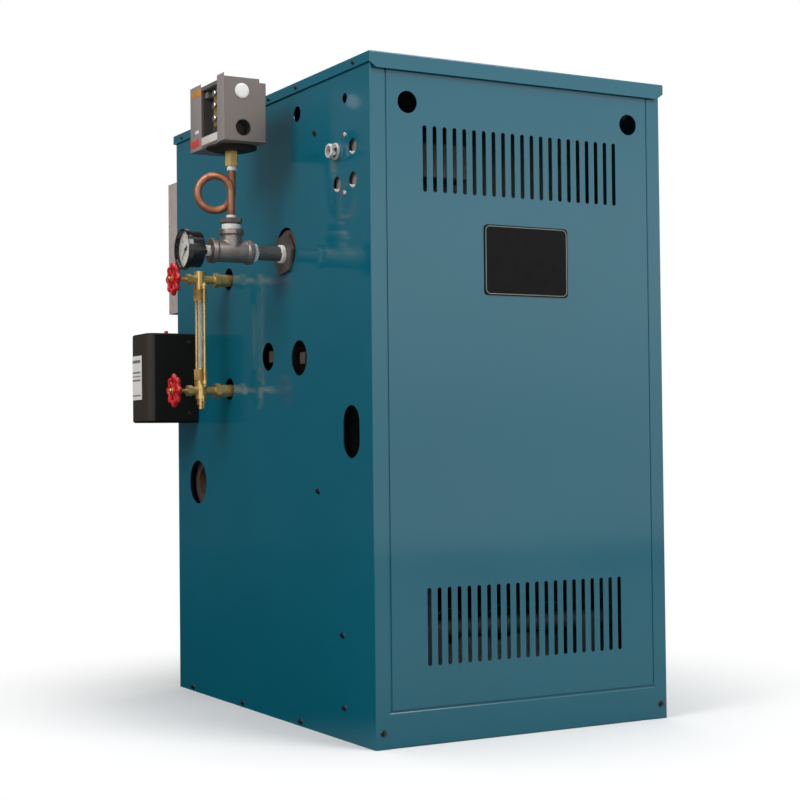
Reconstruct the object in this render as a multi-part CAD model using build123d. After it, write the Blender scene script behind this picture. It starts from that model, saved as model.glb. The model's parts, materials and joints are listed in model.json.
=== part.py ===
from build123d import *
import os
from math import asin, cos, sin

# Gas-fired cast iron steam boiler: five cast iron sections on a sheet-metal base, inside a
# painted sheet-metal jacket, with the steam trim and the water gauge on the left side.
# Millimetres. The origin is on the floor under the middle of the jacket, +X is to the right
# seen from the front, +Y to the rear and +Z up. Places on a side are given as the distance
# from the front face and the height, and "out" is the distance outside the jacket's face.

# Jacket sheets
jacket_width = 530.0
jacket_depth = 756.0
jacket_height = 1016.0
sheet = 1.2
fold_radius = 2.0
flange_width = 26.0
rebate = 18.0
stop_lip = 10.0
rear_lip = 25.0
strip_height = 52.5
lid_side_overhang = 3.5
lid_front_overhang = 6.0
lid_rear_overhang = 4.0
lid_front_flange = 24.0
lid_side_flange = 16.0
lid_corner_cut = 12.0

# Front door with its two rows of air slots
door_gap = 1.5
slot_count = 21
slot_pitch = 17.3
slot_width = 7.0
upper_slot_drops = (200.5, 101.5)
lower_slot_heights = (115.5, 230.0)
finger_hole_radius = 16.5
finger_hole_from_side = 63.0
finger_hole_drop = 69.5
plate_width = 152.0
plate_height = 107.0
plate_thickness = 1.5
plate_corner = 6.0
plate_offset = 5.0
plate_drop = 296.5

# Cast iron sections, side by side across the boiler
section_count = 5
section_side_gap = 30.0
section_front = 123.0
section_rear = 28.0
section_drop = 186.0
section_corner = 40.0
flue_depth = 15.0
flue_margin = 60.0

# Base, burners and gas train
base_height = 270.0
base_sheet = 2.0
base_apron = 25.0
sill_height = 140.0
burner_radius = 22.0
burner_mouth_radius = 28.0
burner_mouth_length = 22.0
burner_wall = 1.5
manifold_radius = 13.35
manifold_from_front = 53.0
manifold_overhang = 20.0
spud_radius = 5.0
spud_gap = 4.0
bracket_width = 30.0
bracket_height = 36.0
bracket_inset = 67.0
gas_valve_size = (80.0, 62.0, 76.0)
gas_valve_from_left = 120.0
gas_valve_corner = 4.0
gas_inlet_radius = 15.0
gas_inlet_length = 30.0
gas_slot_from_front = 67.0
gas_slot_width = 52.0
gas_slot_heights = (422.0, 501.0)

# Flue canopy on the sections, and the draft hood on the rear
canopy_height = 100.0
canopy_inset = 45.0
canopy_front = 315.0
hood_inset = 57.0
hood_depth = 195.0
hood_height = 254.0
hood_drop = 62.0
hood_corner = 12.0
collar_radius = 89.0
collar_height = 50.0
collar_from_rear = 98.0

# Control wiring inside the jacket, with four round knockouts through the left side
wiring_box_width = 80.0
wiring_box_gap = 5.3
wiring_box_depths = (34.0, 121.0)
wiring_box_drops = (210.0, 102.0)
knockout_radius = 11.0
knockout_rim = 1.2
knockout_columns = (55.0, 106.0)
knockout_drops = (181.0, 131.0)
transformer_width = 94.0
transformer_from_left = 122.0
transformer_depth = 50.0
transformer_drops = (166.0, 111.0)
transformer_corner = 4.0
panel_foot_gap = 6.0

# Tappings: the steam supply on top and the return low on each side
supply_boss_radius = 46.0
supply_bore_radius = 33.5
supply_boss_height = 130.0
supply_pocket = 20.0
supply_from_front = 218.0
supply_hole_radius = 52.0
return_from_rear = 95.0
return_rise = 107.0
return_boss_radius = 44.0
return_bore_radius = 28.5
return_bore_depth = 60.0
return_boss_inset = 14.0
return_hole_radius = 38.5

# Plain holes in the left side
clip_hole_from_front = 242.0
clip_hole_drop = 50.0
clip_hole_radius = 12.5
pilot_hole_from_front = 78.5
pilot_hole_drop = 55.0
pilot_hole_radius = 7.5

# Plugged tappings behind the left side, placed from the bushing's tapping
small_plug_back = 70.0
small_plug_below = 161.0
small_plug_hole_radius = 23.0
large_plug_forward = 46.0
large_plug_below = 168.5
large_plug_hole_radius = 28.0
plug_boss_radius = 21.0
plug_boss_inset = 22.0
plug_flange_radius = 16.0
plug_flange = 4.0
plug_head = 18.0
plug_head_length = 12.0

# Steam trim: bushing, nipple, tee, gauge and looped siphon. A drop is from the castings' top,
# and a rise is from the bushing's middle.
bush_from_front = 288.0
bush_drop = 82.0
bush_hole_radius = 36.5
bush_hole_rise = 6.4
bush_boss_radius = 39.0
bush_inset = 3.0
bush_spigot_radius = 26.0
bush_back_out = 0.5
bush_face_out = 5.5
bush_flats = 60.0
bush_turn = 20.0
nipple_radius = 11.7
nipple_bore = 9.0
nipple_end_out = 70.0
nipple_socket = 6.0
tee_start_out = 61.0
tee_end_out = 131.5
tee_branch_out = 94.5
tee_radius = 17.4
tee_branch_radius = 16.8
tee_branch_bore = 7.5
tee_collar_radius = 19.7
tee_collar = 9.0
tee_branch_height = 35.0
tee_socket = 11.0
reducer_radius = 13.35
reducer_height = 21.0
reducer_hex = 7.0
reducer_flats = 32.0
reducer_bore = 5.0
siphon_tube_radius = 6.0
siphon_socket = 9.0
siphon_loop_radius = 27.0
siphon_loop_rise = 94.0
siphon_strand_gap = 1.0
siphon_lean = 30.0
adapter_rise = 137.0
adapter_flats = 19.0
gauge_stem_radius = 6.5
gauge_stem_socket = 9.0
gauge_back_out = 150.0
gauge_face_out = 178.0
gauge_radius = 32.0
gauge_back_radius = 28.0
gauge_rim = 3.0
gauge_rim_length = 7.0
gauge_recess = 9.0
gauge_dial_thickness = 1.0
gauge_lens_thickness = 1.5
gauge_lens_inset = 2.0

# Pressure control on the siphon, placed from the bushing's middle
control_outs = (55.3, 124.0)
control_forward = 51.0
control_back_reach = 94.0
control_rises = (167.0, 266.0)
control_edge = 29.0
control_edge_proud = 2.5
control_window = 68.0
control_window_depth = 24.0
control_window_margin = 6.0
control_sill = 19.0
control_back = 12.0
control_back_drop = 6.0
control_corner = 3.0
control_knockout_radius = 13.0
control_knockout_out = 95.0
control_knockout_rise = 21.0
control_knockout_depth = 25.0
diaphragm_radius = 40.0
diaphragm_neck = 30.0
diaphragm_height = 6.0
diaphragm_rim = 3.0
works_thickness = 6.0
works_post_radius = 5.0
works_post_length = 12.0
works_post_count = 3

# Water gauge: two valves with handwheels, a glass and two guard rods
valve_from_rear = 239.0
upper_valve_drop = 104.5
valve_spacing = 189.5
valve_hole_radius = 19.0
valve_hole_rise = 3.0
valve_boss_radius = 17.0
valve_boss_inset = 24.0
shank_radius = 10.5
shank_end_out = 19.0
shank_flats = 22.5
shank_hex = 9.0
neck_radius = 7.0
glass_out = 53.0
glass_radius = 7.0
glass_wall = 1.8
valve_barrel_radius = 9.8
valve_cap = 14.0
gland_flats = 21.5
gland_height = 19.0
gland_end = 36.5
glass_insert = 22.0
bonnet_radius = 7.2
bonnet_out = 70.0
packing_flats = 16.0
packing_out = 79.0
stem_radius = 3.0
stem_insert = 16.0
stem_end_play = 0.3
stem_end_out = 112.0
running_fit = 0.08
rod_radius = 2.4
rod_spread = 17.7
rod_overhang = 3.0
ear_thickness = 6.0
ear_margin = 4.6
ear_from_axis = 14.0
wheel_out = (97.0, 106.0)
wheel_hub_out = (91.0, 109.0)
wheel_radius = 28.5
wheel_lobes = 8
wheel_lobe_radius = 7.5
wheel_web_radius = 22.0
wheel_holes = 8
wheel_hole_radius = 3.6
wheel_hole_from_middle = 14.0
wheel_hub_radius = 8.0
wheel_bevel = 1.4
drain_radius = 7.0
drain_tip_radius = 4.5
drain_height = 10.0
drain_tip = 7.0
drain_bore = 2.5

# Low water cut-off box
lwco_from_rear = 56.0
lwco_rise = 293.5
lwco_width = 90.0
lwco_height = 159.0
lwco_outs = (2.0, 96.0)
lwco_corner = 16.0
lwco_edge = 4.0
lwco_nipple_radius = 10.5
lwco_hole_radius = 15.0
lwco_boss_radius = 20.0

# Conduit connector in one knockout
connector_flange_radius = 14.0
connector_flange = 5.0
connector_bore = 8.0
connector_inside = 11.0
connector_saddle = (16.0, 26.0, 22.0)

# Fits and cutting
hex_sides = 6
fit = 0.1
overrun = 1.0

# Planes worked out from the sizes above
half_sheet = sheet / 2
left_face, right_face = -jacket_width / 2, jacket_width / 2
front_face, rear_face = -jacket_depth / 2, jacket_depth / 2
under_lid = jacket_height - sheet
left_inside = left_face + sheet
fold_outside = fold_radius + half_sheet
section_pitch = (jacket_width - 2 * section_side_gap) / section_count
stack_left = -section_count * section_pitch / 2
section_y = (front_face + section_front, rear_face - section_rear)
section_top = jacket_height - section_drop
hood_top = jacket_height - hood_drop
hood_bottom = hood_top - hood_height
branch_x = left_face - tee_branch_out
glass_x = left_face - glass_out
siphon_shift = Vector(0, 2 * siphon_tube_radius + siphon_strand_gap).rotate(Axis.Z, -siphon_lean)
control_axis = (branch_x + siphon_shift.X, front_face + bush_from_front + siphon_shift.Y)

# Places on a side, as the distance from the front and the height
return_at = (jacket_depth - return_from_rear, base_height + return_rise)
clip_hole_at = (clip_hole_from_front, jacket_height - clip_hole_drop)
pilot_hole_at = (pilot_hole_from_front, jacket_height - pilot_hole_drop)
bush_at = (bush_from_front, section_top - bush_drop)
small_plug_at = (bush_at[0] + small_plug_back, bush_at[1] - small_plug_below)
large_plug_at = (bush_at[0] - large_plug_forward, bush_at[1] - large_plug_below)
upper_valve_at = (jacket_depth - valve_from_rear, section_top - upper_valve_drop)
lower_valve_at = (upper_valve_at[0], upper_valve_at[1] - valve_spacing)
lwco_at = (jacket_depth - lwco_from_rear, base_height + lwco_rise)

# Heights and depths of the trim on the bushing
bush_y = front_face + bush_at[0]
branch_top = bush_at[1] + tee_branch_height
siphon_loop_height = bush_at[1] + siphon_loop_rise
adapter_bottom = bush_at[1] + adapter_rise
control_y = (bush_y - control_forward, bush_y + control_back_reach)
control_heights = tuple(bush_at[1] + rise for rise in control_rises)
diaphragm_bottom = control_heights[0] - diaphragm_height


def block(x, y, z):
    """Box between two limits on each axis."""
    size = [pair[1] - pair[0] for pair in (x, y, z)]
    return Pos(*[sum(pair) / 2 for pair in (x, y, z)]) * Box(*size)


def folded(points, length):
    """Sheet folded along centreline points in the XY plane, raised by a length."""
    section = trace(FilletPolyline(*points, radius=fold_radius), sheet)
    return extrude(section, length, dir=(0, 0, 1))


def below_top(drops):
    """Heights at some distances below the jacket's top."""
    return tuple(jacket_height - drop for drop in drops)


def turned_out(points, place):
    """Turned piece pointing out of the left side: points are (distance out, radius)."""
    face = make_face(Polyline(*points, close=True))
    return Pos(left_face, front_face + place[0], place[1]) * Rot(Z=180) * revolve(face, Axis.X)


def turned_up(points, x, y):
    """Upright turned piece: points are (radius, height)."""
    face = Plane.XZ * make_face(Polyline(*points, close=True))
    return Pos(x, y, 0) * revolve(face, Axis.Z)


def rod_out(radius, start, end, place):
    """Round bar out of the left side, between two distances out."""
    return turned_out([(start, 0), (end, 0), (end, radius), (start, radius)], place)


def rod_up(radius, bottom, top, x, y):
    """Upright round bar."""
    return Pos(x, y, (bottom + top) / 2) * Cylinder(radius, top - bottom)


def hexagon(flats, length):
    """Hexagonal bar on +Z, with a corner on X."""
    return extrude(RegularPolygon(flats / 2, hex_sides, major_radius=False), length)


def hex_out(flats, start, end, place, turn=0):
    """Hexagonal bar out of the left side, with a corner at the top turned towards the front."""
    spot = Pos(left_face - start, front_face + place[0], place[1])
    return spot * Rot(X=turn) * Rot(Y=-90) * hexagon(flats, end - start)


def side_hole(radius, place, x=left_face):
    """Cutter through one side sheet."""
    spot = Pos(x, front_face + place[0], place[1])
    return spot * Rot(Y=90) * Cylinder(radius, 2 * (sheet + overrun))


def side_panel():
    """Left side sheet with its rear lip, front flange, door rebate and door stop."""
    jamb = left_face + flange_width - half_sheet
    stop = front_face + rebate + half_sheet
    panel = folded(
        [
            (left_face + rear_lip, rear_face - half_sheet),
            (left_face + half_sheet, rear_face - half_sheet),
            (left_face + half_sheet, front_face + half_sheet),
            (jamb, front_face + half_sheet),
            (jamb, stop),
            (jamb + stop_lip, stop),
        ],
        under_lid,
    )
    strip_end = left_face + flange_width - fold_outside
    relief = block(
        (strip_end, jamb + stop_lip + overrun),
        (front_face - overrun, front_face + rebate + sheet + overrun),
        (-overrun, strip_height),
    )
    return panel - relief


def gas_slot(x):
    """Cutter for the tall slot where the gas pipe enters a side."""
    low, high = gas_slot_heights
    outline = SlotOverall(high - low, gas_slot_width)
    tool = extrude(outline, sheet + overrun, both=True)
    return Pos(x, front_face + gas_slot_from_front, (low + high) / 2) * Rot(Y=90) * tool


def left_side_panel():
    """Left side with every hole that the trim and the wiring need."""
    panel = side_panel() - gas_slot(left_face)
    holes = [
        (return_hole_radius, return_at),
        (clip_hole_radius, clip_hole_at),
        (pilot_hole_radius, pilot_hole_at),
        (small_plug_hole_radius, small_plug_at),
        (large_plug_hole_radius, large_plug_at),
        (bush_hole_radius, (bush_at[0], bush_at[1] + bush_hole_rise)),
        (lwco_hole_radius, lwco_at),
    ]
    for valve in (upper_valve_at, lower_valve_at):
        holes.append((valve_hole_radius, (valve[0], valve[1] + valve_hole_rise)))
    for place in knockout_places():
        holes.append((knockout_radius + knockout_rim, place))
    for radius, place in holes:
        panel -= side_hole(radius, place)
    return panel


def right_side_panel():
    """Right side: the same folded sheet, with the return hole and the gas slot."""
    panel = mirror(side_panel(), about=Plane.YZ) - gas_slot(right_face)
    return panel - side_hole(return_hole_radius, return_at, right_face)


def knockout_places():
    """Centres of the four knockouts, from the front and from the floor."""
    rows = below_top(knockout_drops)
    return [(column, row) for column in knockout_columns for row in rows]


def front_strip():
    """Channel across the foot of the front, between the side flanges."""
    back = front_face + rebate
    channel = folded(
        [
            (back, half_sheet),
            (front_face + half_sheet, half_sheet),
            (front_face + half_sheet, strip_height - half_sheet),
            (back, strip_height - half_sheet),
        ],
        jacket_width - 2 * (flange_width - fold_outside),
    )
    return Pos(left_face + flange_width - fold_outside, 0, 0) * (Plane.YZ * channel)


def slot_row(heights):
    """Cutters for one row of upright slots in the door."""
    low, high = heights
    slot = extrude(SlotOverall(high - low, slot_width, rotation=90), rebate)
    row = GridLocations(slot_pitch, 0, slot_count, 1)
    spot = Pos(0, front_face + sheet + overrun, (low + high) / 2) * Rot(X=90)
    return [Pos(place.position.X, 0, 0) * spot * slot for place in row]


def front_door():
    """Lift-off door: a shallow pan with air slots and two finger holes."""
    half_width = jacket_width / 2 - flange_width - door_gap
    low, high = strip_height + door_gap, under_lid - door_gap
    pan = block((-half_width, half_width), (front_face, front_face + rebate), (low, high))
    pan = fillet(pan.faces().sort_by(Axis.Y)[0].edges(), fold_radius)
    pan -= block(
        (sheet - half_width, half_width - sheet),
        (front_face + sheet, front_face + rebate + overrun),
        (low + sheet, high - sheet),
    )
    hole = Rot(X=90) * Cylinder(finger_hole_radius, 2 * (sheet + overrun))
    for side in (-1, 1):
        x = side * (jacket_width / 2 - finger_hole_from_side)
        pan -= Pos(x, front_face, jacket_height - finger_hole_drop) * hole
    return pan - slot_row(below_top(upper_slot_drops)) - slot_row(lower_slot_heights)


def name_plate():
    """Bare plate on the door."""
    plate = extrude(RectangleRounded(plate_width, plate_height, plate_corner), plate_thickness)
    return Pos(plate_offset, front_face, jacket_height - plate_drop) * Rot(X=90) * plate


def lid():
    """Top sheet with folded flanges, deeper at the front."""
    x = jacket_width / 2 + lid_side_overhang
    y = (front_face - lid_front_overhang, rear_face + lid_rear_overhang)
    low, side_low = jacket_height - lid_front_flange, jacket_height - lid_side_flange
    pan = block((-x, x), y, (low, jacket_height))
    pan = fillet(pan.faces().sort_by(Axis.Z)[-1].edges(), fold_radius)
    pan -= block((sheet - x, x - sheet), (y[0] + sheet, y[1] - sheet), (low - overrun, under_lid))
    pan -= block(
        (-x - overrun, x + overrun),
        (y[0] + sheet, y[1] + overrun),
        (low - overrun, side_low),
    )
    corner = make_face(Polyline((x, low), (x - lid_corner_cut, low), (x, side_low), close=True))
    cutter = extrude(Plane.XZ * corner, sheet + overrun, both=True)
    cutter = Pos(0, y[0], 0) * cutter
    pan -= [cutter, mirror(cutter, about=Plane.YZ)]
    for side in (-1, 1):
        pan -= rod_up(supply_hole_radius, under_lid - overrun, jacket_height + overrun, *supply_spot(side))
    return pan


def supply_spot(side):
    """Centre of the supply tapping on the left (-1) or right (1) end section."""
    return side * (-stack_left - section_pitch / 2), front_face + supply_from_front


def hood_window():
    """Limits of the flue passage through the rear sheet, inside the canopy."""
    x = -stack_left - canopy_inset - sheet
    return (-x, x), (section_top + sheet, section_top + canopy_height - sheet)


def rear_panel():
    """Rear sheet inside the side lips, open where the canopy meets the hood."""
    x = jacket_width / 2 - fold_outside
    y = (rear_face - 2 * sheet, rear_face - sheet)
    panel = block((-x, x), y, (0, under_lid))
    window_x, window_z = hood_window()
    return panel - block(window_x, (y[0] - overrun, y[1] + overrun), window_z)


def flue_canopy():
    """Sheet cover over the flueways, open below and to the rear."""
    x = -stack_left - canopy_inset
    y = (front_face + canopy_front, rear_face - 2 * sheet)
    top = section_top + canopy_height
    cover = block((-x, x), y, (section_top, top))
    cover = fillet(cover.edges().group_by(Axis.Z)[-1].sort_by(Axis.Y)[0], fold_radius)
    inner = block(
        (sheet - x, x - sheet),
        (y[0] + sheet, y[1] + overrun),
        (section_top - overrun, top - sheet),
    )
    return cover - inner


def draft_hood():
    """Galvanised hood on the rear: open relief below, round hole under the flue collar."""
    x = jacket_width / 2 - hood_inset
    y = (rear_face - sheet, rear_face + hood_depth)
    hood = block((-x, x), y, (hood_bottom, hood_top))
    hood = fillet(hood.edges().filter_by(Axis.Z).sort_by(Axis.Y)[2:], hood_corner)
    inner = block(
        (sheet - x, x - sheet),
        (y[0] + sheet, y[1] - sheet),
        (hood_bottom - overrun, hood_top - sheet),
    )
    inner = fillet(inner.edges().filter_by(Axis.Z).sort_by(Axis.Y)[2:], hood_corner - sheet)
    window_x, window_z = hood_window()
    hood -= [inner, block(window_x, (y[0] - overrun, y[0] + sheet + overrun), window_z)]
    return hood - flue_bore()


def flue_bore():
    """Cutter for the flue outlet through the hood's top and the collar."""
    top = hood_top + collar_height + overrun
    return rod_up(collar_radius - sheet, hood_bottom, top, 0, rear_face + collar_from_rear)


def flue_collar():
    """Round collar for the flue pipe, on top of the hood."""
    top = hood_top + collar_height
    return rod_up(collar_radius, hood_top, top, 0, rear_face + collar_from_rear) - flue_bore()


def base_box():
    """Galvanised base: four walls and a floor, open at the front above the sill."""
    x = -stack_left
    y = (section_y[0] - base_apron, section_y[1])
    base = block((-x, x), y, (0, base_height))
    base -= block(
        (base_sheet - x, x - base_sheet),
        (y[0] + base_sheet, y[1] - base_sheet),
        (base_sheet, base_height + overrun),
    )
    return base - block(
        (base_sheet - x, x - base_sheet),
        (y[0] - overrun, y[0] + base_sheet + overrun),
        (sill_height, base_height + overrun),
    )


def burner_lanes():
    """Middle of each burner across the boiler, one under each section."""
    return [stack_left + section_pitch * (index + 1 / 2) for index in range(section_count)]


def burner_tubes():
    """Closed tubes on the sill, with flared mouths at the front."""
    mouth = section_y[0] - base_apron - burner_mouth_length
    end = section_y[1] - base_sheet - mouth
    wall = burner_wall
    outline = [
        (burner_mouth_radius, 0),
        (burner_radius, burner_mouth_length - burner_wall),
        (burner_radius, end),
        (0, end),
        (0, end - wall),
        (burner_radius - wall, end - wall),
        (burner_radius - wall, burner_mouth_length),
        (burner_mouth_radius - wall, 0),
    ]
    tube = Rot(X=-90) * turned_up(outline, 0, 0)
    height = sill_height + burner_radius
    return Compound(children=[Pos(x, mouth, height) * tube for x in burner_lanes()])


def gas_manifold():
    """Manifold pipe with a spud for each burner, a riser and two brackets to the sill."""
    y = front_face + manifold_from_front
    height = sill_height + burner_radius
    reach = burner_lanes()[-1] + manifold_overhang
    sill = section_y[0] - base_apron
    pipe = Pos(0, y, height) * Rot(Y=90) * Cylinder(manifold_radius, 2 * reach)
    pipe += rod_up(manifold_radius, height, gas_valve_heights()[0], gas_valve_middle(), y)
    tip = sill - burner_mouth_length - spud_gap
    spud = Rot(X=-90) * rod_up(spud_radius, 0, tip - y, 0, 0)
    for x in burner_lanes():
        pipe += Pos(x, y, height) * spud
    for side in (-1, 1):
        x = side * (reach - bracket_inset)
        edges = (x - bracket_width / 2, x + bracket_width / 2)
        pipe += block(edges, (y - manifold_radius, sill), (sill_height - bracket_height, sill_height))
        pipe += block(edges, (y - manifold_radius, y), (sill_height - bracket_height, height))
    return pipe


def gas_valve_heights():
    """Bottom and top of the gas valve, level with the slot in the side."""
    middle = sum(gas_slot_heights) / 2
    return middle - gas_valve_size[2] / 2, middle + gas_valve_size[2] / 2


def gas_valve_middle():
    """Middle of the gas valve across the boiler."""
    return left_face + gas_valve_from_left


def gas_valve():
    """Gas valve on the riser, with its inlet towards the left side."""
    width, depth, _ = gas_valve_size
    x, y = gas_valve_middle(), front_face + gas_slot_from_front
    low, high = gas_valve_heights()
    body = block((x - width / 2, x + width / 2), (y - depth / 2, y + depth / 2), (low, high))
    body = fillet(body.edges().filter_by(Axis.Z), gas_valve_corner)
    inlet = Pos(x - width / 2 - gas_inlet_length / 2, y, (low + high) / 2) * Rot(Y=90)
    return body + inlet * Cylinder(gas_inlet_radius, gas_inlet_length)


def plain_section(index):
    """One casting with its flueways cut down each inner face."""
    x = stack_left + section_pitch * index
    depth, height = section_y[1] - section_y[0], section_top - base_height
    outline = Plane.YZ * RectangleRounded(depth, height, section_corner)
    body = Pos(x, sum(section_y) / 2, (base_height + section_top) / 2) * extrude(outline, section_pitch)
    y = (section_y[0] + flue_margin, section_y[1] - flue_margin)
    z = (base_height - overrun, section_top + overrun)
    if index > 0:
        body -= block((x - overrun, x + flue_depth), y, z)
    if index < section_count - 1:
        body -= block((x + section_pitch - flue_depth, x + section_pitch + overrun), y, z)
    return body


def supply_boss(side):
    """Tapped boss for the steam supply, on top of the left (-1) or right (1) end section."""
    top = section_top + supply_boss_height
    boss = rod_up(supply_boss_radius, section_top, top, *supply_spot(side))
    return boss - supply_bore(side)


def supply_bore(side):
    """Cutter for the supply tapping, down into the casting."""
    top = section_top + supply_boss_height + overrun
    return rod_up(supply_bore_radius, section_top - supply_pocket, top, *supply_spot(side))


def return_boss(side):
    """Return boss of an end section and the cutter for its tapping."""
    outer = -left_face - return_boss_inset
    back = outer - return_bore_depth
    spot = Pos(0, front_face + return_at[0], return_at[1]) * Rot(Y=90 * side)
    boss = spot * rod_up(return_boss_radius, back, outer, 0, 0)
    return boss, spot * rod_up(return_bore_radius, back, outer + overrun, 0, 0)


def section(index):
    """One section, with the tappings where it is an end section."""
    body = plain_section(index)
    sides = {0: -1, section_count - 1: 1}
    if index not in sides:
        return body
    boss, bore = return_boss(sides[index])
    if index == 0:
        for place, radius, inset in trim_bosses():
            boss += rod_out(radius, left_face - stack_left - overrun, -inset, place)
    return body + boss - [bore, supply_bore(sides[index])]


def trim_bosses():
    """Bosses for the trim on the left end section: place, radius, distance inside the jacket."""
    return [
        (bush_at, bush_boss_radius, bush_inset),
        (small_plug_at, plug_boss_radius, plug_boss_inset),
        (large_plug_at, plug_boss_radius, plug_boss_inset),
        (upper_valve_at, valve_boss_radius, valve_boss_inset),
        (lower_valve_at, valve_boss_radius, valve_boss_inset),
        (lwco_at, lwco_boss_radius, valve_boss_inset),
    ]


def inner_front_panel():
    """Sheet on the front of the castings, behind the door."""
    x = -stack_left
    y = (section_y[0] - sheet, section_y[0])
    return block((-x, x), y, (base_height, under_lid - panel_foot_gap))


def wiring_box():
    """Zinc box a little inside the left side, with a hole for the conduit connector."""
    x = (left_inside + wiring_box_gap, left_inside + wiring_box_width)
    y = tuple(front_face + depth for depth in wiring_box_depths)
    z = below_top(wiring_box_drops)
    walls = [(pair[0] + sheet, pair[1] - sheet) for pair in (x, y, z)]
    box = block(x, y, z) - block(*walls)
    return box - side_hole(knockout_radius + fit, knockout_places()[-1], x[0])


def transformer():
    """Control transformer on the inner front panel."""
    x = left_face + transformer_from_left
    back = section_y[0] - sheet
    y = (back - transformer_depth, back)
    body = block((x, x + transformer_width), y, below_top(transformer_drops))
    return fillet(body.edges().filter_by(Axis.X), transformer_corner)


def tapping_plugs():
    """Square-headed plugs in the two spare tappings."""
    plugs = []
    for place in (small_plug_at, large_plug_at):
        start = -plug_boss_inset
        plug = rod_out(plug_flange_radius, start, start + plug_flange, place)
        y, z = front_face + place[0], place[1]
        x = left_face - start - plug_flange
        plug += block(
            (x - plug_head_length, x),
            (y - plug_head / 2, y + plug_head / 2),
            (z - plug_head / 2, z + plug_head / 2),
        )
        plugs.append(plug)
    return Compound(children=plugs)


def tapping_bushing():
    """Bushing in the upper left tapping: a hexagon clear of the jacket, bored for the nipple."""
    body = hex_out(bush_flats, bush_back_out, bush_face_out, bush_at, bush_turn)
    body += rod_out(bush_spigot_radius, -bush_inset, bush_back_out, bush_at)
    start = bush_face_out - nipple_socket
    return body - rod_out(nipple_radius + fit, start, bush_face_out + overrun, bush_at)


def trim_nipple():
    """Short pipe from the bushing to the tee."""
    start = bush_face_out - nipple_socket
    return turned_out(
        [
            (start, nipple_bore),
            (nipple_end_out, nipple_bore),
            (nipple_end_out, nipple_radius),
            (start, nipple_radius),
        ],
        bush_at,
    )


def trim_tee():
    """Malleable tee with banded ends: nipple and gauge on the run, siphon on the branch."""
    start, end = tee_start_out, tee_end_out
    tee = rod_out(tee_radius, start, end, bush_at)
    tee += rod_out(tee_collar_radius, start, start + tee_collar, bush_at)
    tee += rod_out(tee_collar_radius, end - tee_collar, end, bush_at)
    tee += rod_up(tee_branch_radius, bush_at[1], branch_top, branch_x, bush_y)
    tee += rod_up(tee_collar_radius, branch_top - tee_collar, branch_top, branch_x, bush_y)
    tee -= rod_out(nipple_radius + fit, start - overrun, nipple_end_out, bush_at)
    tee -= rod_out(nipple_bore, start, tee_branch_out + tee_branch_bore + overrun, bush_at)
    tee -= rod_out(gauge_stem_radius + fit, end - gauge_stem_socket, end + overrun, bush_at)
    tee -= rod_up(reducer_radius + fit, branch_top - tee_socket, branch_top + overrun, branch_x, bush_y)
    return tee - rod_up(tee_branch_bore, bush_at[1], branch_top, branch_x, bush_y)


def reducer_top():
    """Top of the reducing bushing on the tee's branch."""
    return branch_top - tee_socket + reducer_height + reducer_hex


def tee_bushing():
    """Reducing bushing between the tee's branch and the siphon."""
    low, top = branch_top - tee_socket, reducer_top()
    body = rod_up(reducer_radius, low, top - reducer_hex, branch_x, bush_y)
    body += Pos(branch_x, bush_y, top - reducer_hex) * hexagon(reducer_flats, reducer_hex)
    body -= rod_up(siphon_tube_radius + fit, top - siphon_socket, top + overrun, branch_x, bush_y)
    return body - rod_up(reducer_bore, low - overrun, top, branch_x, bush_y)


def siphon_loop():
    """Copper siphon: a riser, one full loop away from the jacket and a second riser beside it."""
    radius, height = siphon_loop_radius, siphon_loop_height
    swing = asin(siphon_shift.length / (4 * radius))
    away = Vector(-cos(swing), sin(swing), 0).rotate(Axis.Z, -siphon_lean) * radius
    home = Vector(cos(swing), sin(swing), 0).rotate(Axis.Z, -siphon_lean) * radius
    rise = Vector(0, 0, radius)
    foot = Vector(branch_x, bush_y, reducer_top() - siphon_socket)
    first = Vector(branch_x, bush_y, height)
    far = first + away * 2
    last = far + home * 2
    head = Vector(last.X, last.Y, adapter_bottom + siphon_socket)
    path = Curve() + [
        Line(foot, first),
        ThreePointArc(first, first + away + rise, far),
        ThreePointArc(far, far + home - rise, last),
        Line(last, head),
    ]
    return sweep(Plane(foot) * Circle(siphon_tube_radius), path=path)


def siphon_adapter():
    """Brass hexagon between the siphon and the pressure control."""
    body = Pos(*control_axis, adapter_bottom) * hexagon(adapter_flats, diaphragm_bottom - adapter_bottom)
    socket = (adapter_bottom - overrun, adapter_bottom + siphon_socket)
    return body - rod_up(siphon_tube_radius + fit, *socket, *control_axis)


def control_diaphragm():
    """Dished diaphragm housing under the control."""
    low, top = diaphragm_bottom, control_heights[0]
    points = [
        (0, low),
        (diaphragm_neck, low),
        (diaphragm_radius, top - diaphragm_rim),
        (diaphragm_radius, top),
        (0, top),
    ]
    return turned_up(points, *control_axis)


def control_window_limits():
    """Limits across and up of the open window in the control's outer face."""
    near = control_y[0] + control_edge
    low = control_heights[0] + control_sill
    return (near, near + control_window), (low, control_heights[1] - control_window_margin)


def control_case():
    """Sheet case of the pressure control, with a window, a raised near edge and a knockout."""
    x = (left_face - control_outs[1], left_face - control_outs[0])
    y = control_y
    low, top = control_heights
    case = block(x, y, (low, top))
    case = fillet(case.edges().filter_by(Axis.Z), control_corner)
    case += block(
        (x[0] - control_edge_proud, x[0] + control_corner),
        (y[0], y[0] + control_edge),
        (low, top),
    )
    case -= block(
        (x[1] - control_back, x[1] + overrun),
        (y[0] - overrun, y[1] + overrun),
        (top - control_back_drop, top + overrun),
    )
    window_y, window_z = control_window_limits()
    case -= block((x[0] - overrun, x[0] + control_window_depth), window_y, window_z)
    height = low + control_knockout_rise
    spot = Pos(left_face - control_knockout_out, y[0] + control_knockout_depth, height) * Rot(X=90)
    depth = control_knockout_depth + overrun
    return case - spot * extrude(Circle(control_knockout_radius), depth)


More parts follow.
